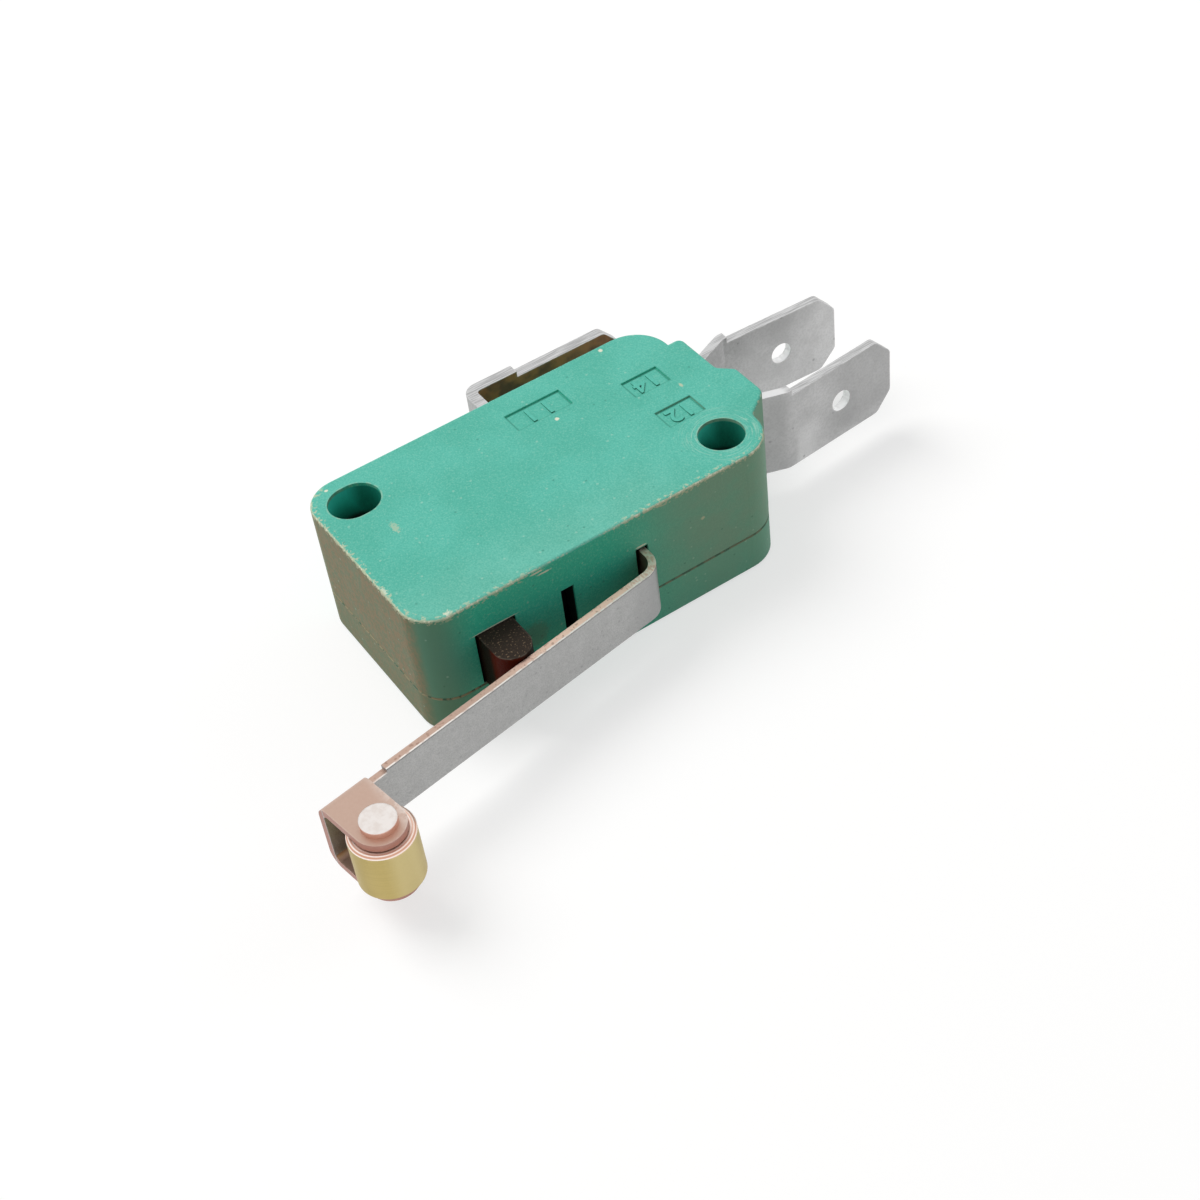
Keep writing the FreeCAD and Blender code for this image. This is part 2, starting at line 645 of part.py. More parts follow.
def make_plunger():
    """The plunger: a half-round nose, a stop flange behind the wall and a stem with a round foot."""
    body = new_body("plunger")
    low = seam_z + d.plunger_play
    height = d.plunger_slot_height - 2 * d.plunger_play
    flange_front = inner_front + d.touch_gap - nose_y
    flange_back = flange_front + d.flange_depth
    pieces = [("nose", d.plunger_width / 2, size(0), flange_back),
              ("flange", d.flange_width / 2, flange_front, flange_back),
              ("stem", d.stem_width / 2, flange_front, foot_y - nose_y)]
    for name, half, near, far in pieces:
        block = new_sketch(body, "plunger_" + name, lift=low)
        rectangle(block, -half, near, half, far)
        extrude(body, block, height)
    for name, y, radius in (("nose_round", size(0), d.plunger_width / 2),
                            ("foot_round", foot_y - nose_y, d.stem_width / 2)):
        end = new_sketch(body, "plunger_" + name, lift=low)
        circle(end, 0, y, radius)
        extrude(body, end, height)
    place(body, plunger_x, nose_y)
    return body


# Terminals: drawn from the bend in front of the tab, with the tab along +X

def make_terminal(name, gauge, bend, spot, angle, runs, shoulder, reach):
    """A blade terminal: bent sheet from the shoulder back into the housing, and a flat tab."""
    body = new_body(name)
    left, right = strip((shoulder, 0), [(180, shoulder), *runs], gauge)
    root = new_sketch(body, name + "_root", lift=terminal_low)
    polygon(root, left + right[::-1])
    extrude(body, root, terminal_high - terminal_low)
    for k in range(1, len(runs) + 1):
        turn = (size(runs[k - 1][0]) - (180 if k == 1 else runs[k - 2][0])).value
        inner, outer = (left[k], right[k]) if turn > 0 else (right[k], left[k])
        dress(body, "Fillet", "%s_bend_%d_inside" % (name, k), upright_at([inner]), bend)
        dress(body, "Fillet", "%s_bend_%d_outside" % (name, k), upright_at([outer]), bend + gauge)

    low, high = mid_height - d.tab_width / 2, mid_height + d.tab_width / 2
    step_x, step_z = d.tab_bevel_long, d.tab_bevel_wide
    tab = new_sketch(body, name + "_tab", "XZ_Plane")
    polygon(tab, [(shoulder, low), (reach - step_x, low), (reach, low + step_z), (reach, high - step_z),
                  (reach - step_x, high), (shoulder, high)])
    extrude(body, tab, gauge, middle=True)
    corner_x = [reach.value, (reach - step_x).value]
    corner_z = [z.value for z in (low, low + step_z, high - step_z, high)]

    def tab_corner(edge):
        box = edge.BoundBox
        return (box.YLength > NEAR and box.XLength < NEAR and box.ZLength < NEAR
                and any(abs(box.XMin - x) < NEAR for x in corner_x)
                and any(abs(box.ZMin - z) < NEAR for z in corner_z))
    dress(body, "Fillet", name + "_tab_corners", tab_corner, d.tab_round)
    hole = new_sketch(body, name + "_tab_hole", "XZ_Plane")
    circle(hole, reach - d.tab_hole_inset, mid_height, d.tab_hole_radius)
    extrude(body, hole, gauge * 3, cut=True, middle=True)
    place(body, *spot, 0, angle)
    return body


def contact_terminal(name, y, guard_face, root_turn, root_length, tab_turn):
    """A terminal whose root turns away from the guard and whose tab turns back."""
    first_x = guard_face + d.bend_stand
    spot = (first_x + root_length * cos(root_turn), y + root_length * sin(root_turn))
    runs = [(180 + root_turn - tab_turn, root_length), (180 - tab_turn, d.arm_length)]
    return make_terminal(name, d.tab_gauge, d.terminal_bend, spot, tab_turn, runs, size(0.4), d.tab_length)


def make_com_terminal():
    """The common terminal: its plate ends in a fork with a groove for each knife edge."""
    spot = (com_x, back + d.com_stand)
    depth = spot[1] - (blade_y - d.plate_end)
    body = make_terminal("com_terminal", d.com_gauge, d.com_bend, spot, 0, [(270, depth)],
                         d.com_shoulder, d.com_tab_end)
    opening = new_sketch(body, "com_opening", "YZ_Plane")
    rectangle(opening, -depth - d.plate_end, mid_height - d.window_width / 2,
              blade_y + d.plate_window - spot[1], mid_height + d.window_width / 2)
    extrude(body, opening, d.com_gauge * 2, cut=True, middle=True)
    grooves = new_sketch(body, "com_grooves", lift=terminal_high)
    radius = d.blade_gauge / 2 + d.edge_groove
    circle(grooves, -d.com_gauge / 2, pivot_y - spot[1], radius)
    circle(grooves, d.com_gauge / 2, blade_y - spot[1], radius)
    extrude(body, grooves, terminal_high - terminal_low, cut=True)
    return body


# Snap mechanism: toggle, spring, blade and contacts

def make_frame(name, side, outline, ends, hole=None):
    """A sheet frame with two prongs that end in round knife edges on its own Z axis."""
    body = new_body(name)
    sheet_sketch = new_sketch(body, name + "_outline", "XZ_Plane")
    polygon(sheet_sketch, [(side * x, z) for x, z in outline])
    extrude(body, sheet_sketch, d.blade_gauge, middle=True)
    for k, (low, high) in enumerate(ends):
        edge = new_sketch(body, "%s_edge_%d" % (name, k), lift=low)
        circle(edge, 0, 0, d.blade_gauge / 2)
        extrude(body, edge, high - low)
    if hole:
        bore = new_sketch(body, name + "_hole", "XZ_Plane")
        circle(bore, *hole)
        extrude(body, bore, d.blade_gauge * 3, cut=True, middle=True)
    return body


low_side, high_side = d.skin + d.blade_play, cavity_top - d.blade_play
low_window, high_window = mid_height - d.window_width / 2, mid_height + d.window_width / 2
low_tip, high_tip = mid_height - d.blade_tip_width / 2, mid_height + d.blade_tip_width / 2
PRONGS = [(low_side, low_window), (high_window, high_side)]
edge_x = com_x + d.com_gauge / 2
blade_window = d.blade_length - d.blade_bar
contact_reach = d.blade_length - d.contact_inset
fixed_face = blade_y - d.blade_gauge / 2 - d.contact_head - d.touch_gap
moving_face = blade_y + d.blade_gauge / 2 + d.contact_head


def make_blade():
    """The moving blade, which carries the moving contact."""
    neck = blade_window + (low_tip - low_side)
    outline = [(0, low_side), (blade_window, low_side), (neck, low_tip), (d.blade_length, low_tip),
               (d.blade_length, high_tip), (neck, high_tip), (blade_window, high_side), (0, high_side),
               (0, high_window), (blade_window, high_window), (blade_window, low_window), (0, low_window)]
    body = make_frame("moving_blade", 1, outline, PRONGS, (contact_reach, mid_height, d.contact_shank))
    place(body, edge_x, blade_y)
    return body


def make_toggle():
    """The toggle, which the plunger's foot pushes and the spring pulls against its knife edges."""
    outline = [(0, low_side), (toggle_length, low_side), (toggle_length, high_side), (0, high_side),
               (0, high_window), (toggle_window, high_window), (toggle_window, low_window), (0, low_window)]
    body = make_frame("toggle_arm", -1, outline, PRONGS)
    place(body, pivot_x, pivot_y, 0, d.toggle_angle)
    return body


def make_moving_contact():
    """The contact rivet, with a head on each side of the blade."""
    body = new_body("moving_contact")
    profile = new_sketch(body, "moving_contact_profile", "XY_Plane")
    half = d.blade_gauge / 2
    end = half + d.contact_head
    polygon(profile, [(0, -end), (d.contact_radius, -end),
                      (d.contact_radius, -half), (d.contact_shank, -half),
                      (d.contact_shank, half), (d.contact_radius, half), (d.contact_radius, end), (0, end)])
    spin(body, profile, "Y_Axis")
    place(body, edge_x + contact_reach, blade_y, mid_height)
    return body


def make_fixed_contact(name, near, far):
    """A round contact on the inner face of a terminal."""
    body = new_body(name)
    disc = new_sketch(body, name + "_disc", "XZ_Plane", -near)
    circle(disc, edge_x + contact_reach, mid_height, d.contact_radius)
    extrude(body, disc, far - near, back=True)
    return body


WIRE_SIDES = 6


def make_spring():
    """The tension spring between toggle and blade: a coil with a straight end on each side.

    The coil is a chain of half turns. Each is a half circle whose plane leans by half the pitch,
    and the wire has flats instead of a round section.
    """
    hook_x, hook_y = edge_x + blade_window, blade_y
    pull = turned(-toggle_window, 0, d.toggle_angle)
    span_x, span_y = hook_x - pivot_x - pull[0], hook_y - pivot_y - pull[1]
    span = math.hypot(span_x.value, span_y.value)
    lean = Size(math.degrees(math.atan2(span_y.value, span_x.value)), "atan(%s)" % (span_y / span_x).text)
    radius, wire = d.spring_radius.value, d.wire_radius.value
    gap, leg = d.hook_gap.value, d.spring_leg.value
    coil = span - 2 * (gap + leg)
    halves = 2 * round(d.spring_turns.value)
    step = coil / halves

    turns = []
    for k in range(halves):
        side = 1 if k % 2 == 0 else -1
        x = -gap - leg - k * step
        chord = FreeCAD.Vector(step, 0, side * 2 * radius)
        bulge = FreeCAD.Vector(0, side, 0)
        start = FreeCAD.Vector(x, 0, side * radius)
        across = FreeCAD.Vector(chord).normalize()
        axis = across.cross(bulge)
        rim = []
        for n in range(WIRE_SIDES):
            angle = 2 * math.pi * (n + 0.5) / WIRE_SIDES
            rim.append(start + across * (wire * math.cos(angle)) + axis * (wire * math.sin(angle)))
        section = Part.Face(Part.makePolygon(rim + rim[:1]))
        turns.append(section.revolve(start - chord / 2, axis, 180))
    shape = turns[0].fuse(turns[1:])
    along, up = FreeCAD.Vector(-1, 0, 0), FreeCAD.Vector(0, 0, 1)
    for tip, corner in ((-gap, -gap - leg), (gap - span, gap + leg - span)):
        leg_start = FreeCAD.Vector(max(tip, corner), 0, 0)
        knee = FreeCAD.Vector(corner, 0, 0)
        shape = shape.fuse([Part.makeCylinder(wire, leg, leg_start, along), Part.makeSphere(wire, knee),
                            Part.makeCylinder(wire, radius + wire, knee, up)])
    spring = doc.addObject("Part::Feature", "tension_spring")
    spring.Label = "tension_spring"
    spring.Shape = shape
    place(spring, hook_x, hook_y, mid_height, lean)
    return spring


bodies = [
    make_case(),
    make_cover(),
    make_plunger(),
    make_lever(),
    make_roller(),
    make_roller_pin(),
    make_com_terminal(),
    contact_terminal("no_terminal", d.no_y, no_guard_face,
                     d.no_root_angle, d.no_root_length, -d.no_tab_angle),
    contact_terminal("nc_terminal", d.nc_y, nc_guard_face,
                     -d.nc_root_angle, d.nc_root_length, d.nc_tab_angle),
    make_fixed_contact("no_contact", moving_face + d.contact_gap, d.no_y - d.tab_gauge / 2),
    make_fixed_contact("nc_contact", d.nc_y + d.tab_gauge / 2, fixed_face),
    make_blade(),
    make_moving_contact(),
    make_toggle(),
    make_spring(),
]

doc.recompute()
for item in doc.Objects:
    if "Invalid" in item.State or "Error" in item.State:
        raise RuntimeError("%s failed: %s" % (item.Name, item.State))
for body in bodies:
    shape = body.Shape
    if shape.isNull() or not shape.isValid() or len(shape.Solids) != 1:
        raise RuntimeError("%s has no single valid solid" % body.Label)
for body in bodies:
    body.Shape.exportStep("parts/%s.step" % body.Label)
    box = body.Shape.BoundBox
    print("%-16s %9.2f mm3  x %7.2f..%6.2f  y %7.2f..%6.2f  z %6.2f..%6.2f" % (
        body.Label, body.Shape.Volume, box.XMin, box.XMax, box.YMin, box.YMax, box.ZMin, box.ZMax))
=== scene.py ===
# %% [markdown]
# # Lever micro switch with a roller
#
# A snap-action switch in a teal two-part housing. A bent steel lever carries a brass roller in its fork,
# a dark plunger sits under the lever, and three plated tabs leave the housing. The solids come finished
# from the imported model, so this lesson gives them their surfaces, adds the raised numbers in the three
# recessed fields, and sets up the floor, the lamps and the camera. Lengths in the text are millimetres,
# and Blender works in metres.

import math

import bpy
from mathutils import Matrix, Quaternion, Vector


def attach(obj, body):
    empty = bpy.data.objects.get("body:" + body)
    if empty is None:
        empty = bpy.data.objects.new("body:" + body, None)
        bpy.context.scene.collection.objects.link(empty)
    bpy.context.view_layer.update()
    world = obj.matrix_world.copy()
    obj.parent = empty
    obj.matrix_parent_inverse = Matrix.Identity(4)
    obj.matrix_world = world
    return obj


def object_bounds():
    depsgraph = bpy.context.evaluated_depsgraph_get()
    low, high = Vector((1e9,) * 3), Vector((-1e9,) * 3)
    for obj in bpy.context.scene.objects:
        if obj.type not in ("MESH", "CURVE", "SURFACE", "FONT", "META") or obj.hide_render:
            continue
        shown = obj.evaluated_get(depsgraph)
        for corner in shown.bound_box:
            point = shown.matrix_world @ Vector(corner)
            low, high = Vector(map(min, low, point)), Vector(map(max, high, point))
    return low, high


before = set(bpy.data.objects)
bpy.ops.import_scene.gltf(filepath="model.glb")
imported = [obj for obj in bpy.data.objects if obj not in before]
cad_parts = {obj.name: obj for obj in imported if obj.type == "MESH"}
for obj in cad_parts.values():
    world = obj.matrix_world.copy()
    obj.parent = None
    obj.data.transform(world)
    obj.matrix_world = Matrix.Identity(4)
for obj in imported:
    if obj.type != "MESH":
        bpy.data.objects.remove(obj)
cad_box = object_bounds()
MM = 0.001


def in_mm(box):
    """The two corners of a box in rounded millimetres, for printing."""
    return [[round(value / MM, 2) for value in corner] for corner in box]


print("CAD box in mm:", in_mm(cad_box))

# %% [markdown]
# ## The camera
#
# The photograph was taken from above and from the left, close enough to show perspective. Its camera was
# solved from the housing's corners and holes, whose real distances are known. A camera can be aimed at a
# point or turned by angles. Angles are used here, because the solved view has a small roll that an aimed
# camera can't have.

# %% Camera
PICTURE_PIXELS = 1200
FOCAL_PIXELS = 2105.7
SENSOR_WIDTH = 36.0
NEAREST, FARTHEST = 0.005, 10
CAMERA_PLACE = Vector((-57.596, -87.898, 101.565)) * MM
CAMERA_AZIMUTH, CAMERA_ELEVATION, CAMERA_ROLL = -28.07, 45.08, -8.19


def turned_camera(azimuth, elevation, roll):
    """The rotation of a camera that looks down at the part from that side."""
    around, above = math.radians(azimuth), math.radians(elevation)
    back = Vector((math.sin(around) * math.cos(above), -math.cos(around) * math.cos(above), math.sin(above)))
    return (-back).to_track_quat("-Z", "Y") @ Quaternion((0, 0, 1), math.radians(roll))


lens = bpy.data.cameras.new("photo_camera")
lens.sensor_width = SENSOR_WIDTH
lens.lens = SENSOR_WIDTH * FOCAL_PIXELS / PICTURE_PIXELS
lens.clip_start, lens.clip_end = NEAREST, FARTHEST
camera = bpy.data.objects.new("photo_camera", lens)
camera.location = CAMERA_PLACE
camera.rotation_mode = "QUATERNION"
camera.rotation_quaternion = turned_camera(CAMERA_AZIMUTH, CAMERA_ELEVATION, CAMERA_ROLL)
bpy.context.scene.collection.objects.link(camera)
bpy.context.scene.camera = camera
bpy.context.scene.view_settings.view_transform = "Standard"
print("lens of", round(lens.lens, 2), "mm")

# %% [markdown]
# ## Helpers for node trees
#
# Every surface here is built from nodes. Adding a node, setting its sockets and linking it takes three or
# four lines each time, so a few helpers do it in one. They also keep the colours readable: a colour is
# written as the 0 to 255 values that a picture editor shows, and turned into Blender's linear values.

# %% Colours
def linear(value):
    """One 0 to 255 value of a picture as a linear one."""
    share = value / 255
    return share / 12.92 if share <= 0.04045 else ((share + 0.055) / 1.055) ** 2.4


def colour(red, green, blue):
    """Linear colour from the 0 to 255 values of a picture."""
    return (linear(red), linear(green), linear(blue), 1.0)


def grey(value):
    """A neutral grey from one 0 to 255 value."""
    return colour(value, value, value)


print("middle grey is", round(linear(128), 3), "in linear light")

# %% Adding and linking nodes
def add(tree, kind, sockets=None, **properties):
    """Adds a shader node. A socket, chosen by name or number, takes a value or another node's output."""
    made = tree.nodes.new("ShaderNode" + kind)
    for name, value in properties.items():
        setattr(made, name, value)
    for name, value in (sockets or {}).items():
        if isinstance(value, bpy.types.NodeSocket):
            tree.links.new(value, made.inputs[name])
        else:
            made.inputs[name].default_value = value
    return made


def calculate(tree, operation, *values, clamp=False):
    """The output of a Math node."""
    return add(tree, "Math", dict(enumerate(values)), operation=operation, use_clamp=clamp).outputs[0]


def vector(tree, operation, *values):
    """The outputs of a Vector Math node: first a vector, then a number called Value."""
    return add(tree, "VectorMath", dict(enumerate(values)), operation=operation).outputs


def mix(tree, mask, base, top):
    """The base colour where the mask is 0 and the top colour where it is 1."""
    # A Mix node has sockets for each kind of data. Its two colours are numbers 6 and 7.
    colour_sockets = {0: mask, 6: base, 7: top}
    return add(tree, "Mix", colour_sockets, data_type="RGBA").outputs[2]


def ramp(tree, value, low, high, to_low=0.0, to_high=1.0):
    """The value stretched smoothly from low..high to to_low..to_high."""
    limits = {"Value": value, "From Min": low, "From Max": high, "To Min": to_low, "To Max": to_high}
    return add(tree, "MapRange", limits, interpolation_type="SMOOTHSTEP").outputs[0]


print("node helpers ready")

# %% [markdown]
# ## Shared effects: grain, worn edges, films and marks
#
# Grain, rubbed edges, dirty films and small marks return on several materials, so each is a shader node
# group that is built once. A group works in the piece's own coordinates, turned into millimetres, so its
# sizes read like real ones and the pattern moves with the piece.

# %% Helpers for node groups
X, Y, Z = 0, 1, 2


def new_group(name, inputs, outputs):
    """An empty shader node group with those sockets, and its input and output nodes' sockets."""
    tree = bpy.data.node_groups.new(name, "ShaderNodeTree")
    for label, value in inputs.items():
        kind = "NodeSocketVector" if isinstance(value, tuple) else "NodeSocketFloat"
        tree.interface.new_socket(label, in_out="INPUT", socket_type=kind).default_value = value
    for label in outputs:
        tree.interface.new_socket(label, in_out="OUTPUT", socket_type="NodeSocketFloat")
    return tree, tree.nodes.new("NodeGroupInput").outputs, tree.nodes.new("NodeGroupOutput").inputs


def place_in_mm(tree):
    """The shaded point in the piece's own coordinates, in millimetres."""
    here = add(tree, "TexCoord").outputs["Object"]
    return add(tree, "VectorMath", {0: here, "Scale": 1 / MM}, operation="SCALE").outputs[0]


def noise_of_size(tree, point, size, detail=2.0):
    """A noise texture whose patches are about that many millimetres wide."""
    per_mm = calculate(tree, "DIVIDE", 1.0, size)
    return add(tree, "TexNoise", {"Vector": point, "Scale": per_mm, "Detail": detail}).outputs[0]


def use(tree, group, **values):
    """Places a group in a material; a keyword's underscores stand for spaces in the socket's name."""
    made = add(tree, "Group")
    made.node_tree = group
    for label, value in values.items():
        socket = made.inputs[label.replace("_", " ")]
        if isinstance(value, bpy.types.NodeSocket):
            tree.links.new(value, socket)
        else:
            socket.default_value = value
    return made.outputs


print("group helpers ready")

# %% [markdown]
# ### Grain, flecks and stripes
#
# Moulded plastic and matt metal are never one even tone. A noise texture of a chosen size gives the fine
# unevenness. Dust and pits are separate dots, which plain noise doesn't make, so a Voronoi texture cuts
# the surface into cells and a chance decides which cells get a dot. Turned and drawn metal has fine lines:
# they are noise too, squeezed along one axis and drawn out along the others.

# %% Grain: fine noise of one size
grain, inside, out = new_group("grain", {"Size": 0.2, "Detail": 3.0}, ["Value"])
grain.links.new(noise_of_size(grain, place_in_mm(grain), inside["Size"], inside["Detail"]), out["Value"])
print("made the group", grain.name)

# %% Flecks: small round dots, at most one to a cell of the given spacing
flecks, inside, out = new_group("flecks", {"Spacing": 0.5, "Size": 0.07, "Share": 0.3}, ["Mask"])
per_mm = calculate(flecks, "DIVIDE", 1.0, inside["Spacing"])
cells = add(flecks, "TexVoronoi", {"Vector": place_in_mm(flecks), "Scale": per_mm})
chance = add(flecks, "SeparateColor", {0: cells.outputs["Color"]}).outputs[0]
chosen = calculate(flecks, "LESS_THAN", chance, inside["Share"])
reach = calculate(flecks, "DIVIDE", inside["Size"], inside["Spacing"])
dot = ramp(flecks, cells.outputs["Distance"], reach, calculate(flecks, "MULTIPLY", reach, 0.5))
flecks.links.new(calculate(flecks, "MULTIPLY", dot, chosen), out["Mask"])
print("made the group", flecks.name)

# %% Stripes: fine lines along one axis
stripes, inside, out = new_group("stripes", {"Spread": (0.1, 0.1, 8.0)}, ["Value"])
stretched = vector(stripes, "MULTIPLY", place_in_mm(stripes), inside["Spread"])[0]
lines = add(stripes, "TexNoise", {"Vector": stretched, "Scale": 1.0, "Detail": 4.0}).outputs[0]
stripes.links.new(lines, out["Value"])
print("made the group", stripes.name)

# %% [markdown]
# ### Worn edges
#
# Handling rubs a surface bright where it turns a corner. Such places could be picked by hand, but a Bevel
# node finds them on any shape, because its rounded normal leaves the flat one only near an edge. Noise
# breaks the line up. A side can be given too, for an edge that is rubbed from one side only.

# %% Worn edges: how far the rounded normal leaves the flat one, on the side that is asked for
worn_edges, inside, out = new_group("worn_edges", {"Width": 0.2, "Patch Size": 0.5, "Strength": 4.0,
                                                   "Side": (0.0, 0.0, 0.0)}, ["Mask"])
radius = calculate(worn_edges, "MULTIPLY", inside["Width"], MM)
rounded = add(worn_edges, "Bevel", {"Radius": radius}, samples=6).outputs[0]
flat = add(worn_edges, "NewGeometry").outputs["Normal"]
agreement = vector(worn_edges, "DOT_PRODUCT", rounded, flat)["Value"]
bend = calculate(worn_edges, "SUBTRACT", 1.0, agreement)
bend = calculate(worn_edges, "MULTIPLY", bend, inside["Strength"])
lean = vector(worn_edges, "DOT_PRODUCT", rounded, inside["Side"])["Value"]
bend = calculate(worn_edges, "MULTIPLY", bend, ramp(worn_edges, lean, -0.25, -0.05))
patches = noise_of_size(worn_edges, place_in_mm(worn_edges), inside["Patch Size"], 4.0)
broken = ramp(worn_edges, patches, 0.38, 0.55)
worn_edges.links.new(calculate(worn_edges, "MULTIPLY", bend, broken, clamp=True), out["Mask"])
print("made the group", worn_edges.name)

# %% [markdown]
# ### Rubbed rims
#
# The housing's upper rim and its parting line have small roundings in the model itself. Only there is a
# face neither flat nor upright, so the height of its normal picks them out, sharper than a Bevel node
# could. Noise breaks the rim into patches, most of them along its ridge, and the whole rim comes out too.

# %% Rubbed rim: faces that are neither flat nor upright, which only rounded rims and bevels have
RIDGE = 0.65
rubbed_rim, inside, out = new_group("rubbed_rim", {"Patch Size": 0.3, "Cover": 0.5}, ["Mask", "Whole"])
normal = add(rubbed_rim, "SeparateXYZ", {0: add(rubbed_rim, "NewGeometry").outputs["Normal"]})
tilt = calculate(rubbed_rim, "ABSOLUTE", normal.outputs[Z])
rim = calculate(rubbed_rim, "MULTIPLY", ramp(rubbed_rim, tilt, 0.03, 0.1), ramp(rubbed_rim, tilt, 0.93, 0.75))
patches = noise_of_size(rubbed_rim, place_in_mm(rubbed_rim), inside["Patch Size"], 4.0)
limit = calculate(rubbed_rim, "SUBTRACT", 0.75, calculate(rubbed_rim, "MULTIPLY", inside["Cover"], 0.5))
off_ridge = calculate(rubbed_rim, "ABSOLUTE", calculate(rubbed_rim, "SUBTRACT", tilt, RIDGE))
limit = calculate(rubbed_rim, "ADD", limit, calculate(rubbed_rim, "MULTIPLY", off_ridge, 0.25))
broken = ramp(rubbed_rim, patches, limit, calculate(rubbed_rim, "ADD", limit, 0.06))
rubbed_rim.links.new(calculate(rubbed_rim, "MULTIPLY", rim, broken), out["Mask"])
rubbed_rim.links.new(rim, out["Whole"])
print("made the group", rubbed_rim.name)

# %% [markdown]
# ### Depth behind an outline or a face
#
# The walls of the holes, the borders of the fields and the bright line along a sheared edge all lie at a
# known distance from an outline or from a flat face. They could be painted on an image, but a worked-out
# distance stays sharp at any zoom, so two groups give every shaded point its depth.

# %% Outline: how deep a point lies inside a rounded rectangle that is seen from above
outline, inside, out = new_group("outline", {"Centre": (0.0, 0.0, 0.0), "Half": (1.0, 1.0, 0.0),
                                             "Corner": 0.1}, ["Depth"])
away = vector(outline, "SUBTRACT", place_in_mm(outline), inside["Centre"])[0]
away = vector(outline, "ABSOLUTE", away)[0]
away = vector(outline, "MULTIPLY", away, (1.0, 1.0, 0.0))[0]
corner = add(outline, "CombineXYZ", {0: inside["Corner"], 1: inside["Corner"]}).outputs[0]
core = vector(outline, "SUBTRACT", inside["Half"], corner)[0]
over = vector(outline, "SUBTRACT", away, core)[0]
outside = vector(outline, "MAXIMUM", over, (0.0, 0.0, 0.0))[0]
outside = vector(outline, "LENGTH", outside)["Value"]
sides = add(outline, "SeparateXYZ", {0: over}).outputs
within = calculate(outline, "MINIMUM", calculate(outline, "MAXIMUM", sides[X], sides[Y]), 0.0)
depth = calculate(outline, "SUBTRACT", inside["Corner"], calculate(outline, "ADD", outside, within))
outline.links.new(depth, out["Depth"])
print("made the group", outline.name)

# %% Plane depth: how far a point lies behind a flat face
plane, inside, out = new_group("plane_depth", {"Facing": (0.0, 0.0, 1.0), "Offset": 0.0}, ["Depth"])
height = vector(plane, "DOT_PRODUCT", place_in_mm(plane), inside["Facing"])["Value"]
plane.links.new(calculate(plane, "SUBTRACT", inside["Offset"], height), out["Depth"])
print("made the group", plane.name)

# %% [markdown]
# ### Films, marks and scratches
#
# A dull film has grown over parts of the housing, crumbs and nicks sit at certain places, and something
# that turned in a hole has left fine arcs round it. A film grows along one direction, so a ramp along that
# direction carries it. A mark has a centre and a reach, with noise to make its border ragged. The arcs are
# noise in polar coordinates, drawn out along the angle.

# %% Film: a stain that grows along one direction, on upright faces only, in soft patches
film, inside, out = new_group("film", {"Direction": (1.0, 0.0, 0.0), "Start": 0.0, "End": 1.0}, ["Mask"])
point = place_in_mm(film)
along = vector(film, "DOT_PRODUCT", point, inside["Direction"])["Value"]
grown = ramp(film, along, inside["Start"], inside["End"])
normal = add(film, "SeparateXYZ", {0: add(film, "NewGeometry").outputs["Normal"]}).outputs[Z]
upright = ramp(film, calculate(film, "ABSOLUTE", normal), 0.75, 0.35)
clouds = add(film, "TexNoise", {"Vector": point, "Scale": 0.6, "Detail": 3.0}).outputs[0]
patchy = ramp(film, clouds, 0.2, 0.6, 0.8, 1.0)
film.links.new(calculate(film, "MULTIPLY", calculate(film, "MULTIPLY", grown, upright), patchy), out["Mask"])
print("made the group", film.name)

# %% Mark: a small rubbed place of a given reach, with a ragged border
mark, inside, out = new_group("mark", {"Centre": (0.0, 0.0, 0.0), "Reach": (1.0, 1.0, 1.0), "Grit": 0.15,
                                       "Ragged": 2.4}, ["Mask"])
point = place_in_mm(mark)
away = vector(mark, "SUBTRACT", point, inside["Centre"])[0]
away = vector(mark, "DIVIDE", away, inside["Reach"])[0]
distance = vector(mark, "LENGTH", away)["Value"]
rough_border = noise_of_size(mark, point, inside["Grit"])
shift = calculate(mark, "MULTIPLY", calculate(mark, "SUBTRACT", rough_border, 0.5), inside["Ragged"])
mark.links.new(ramp(mark, calculate(mark, "ADD", distance, shift), 1.0, 0.5), out["Mask"])
print("made the group", mark.name)

# %% Ring scratches: fine arcs round an upright axis, which fade from the inner to the outer radius
ARCS_ACROSS, ARCS_AROUND = 9.0, 1.3
ring, inside, out = new_group("ring_scratches", {"Centre": (0.0, 0.0, 0.0), "Inner": 1.7,
                                                 "Outer": 2.8}, ["Mask"])
away = add(ring, "SeparateXYZ", {0: vector(ring, "SUBTRACT", place_in_mm(ring), inside["Centre"])[0]}).outputs
squares = [calculate(ring, "POWER", away[axis], 2.0) for axis in (X, Y)]
radius = calculate(ring, "SQRT", calculate(ring, "ADD", *squares))
angle = calculate(ring, "ARCTAN2", away[Y], away[X])
spread = add(ring, "CombineXYZ", {0: calculate(ring, "MULTIPLY", radius, ARCS_ACROSS),
                                  1: calculate(ring, "MULTIPLY", angle, ARCS_AROUND)}).outputs[0]
arcs = add(ring, "TexNoise", {"Vector": spread, "Scale": 1.0, "Detail": 3.0}).outputs[0]
zone = ramp(ring, radius, inside["Outer"], inside["Inner"])
ring.links.new(calculate(ring, "MULTIPLY", ramp(ring, arcs, 0.5, 0.7), zone), out["Mask"])
print("made the group", ring.name)

# %% [markdown]
# ## Materials
#
# Every material ends in a Principled shader, fed by a colour that is built up in layers: base colour,
# grain, films, marks, worn edges. The same edge rounding that finds worn edges also softens the shading
# at each edge, because no real moulded or stamped edge is perfectly sharp.

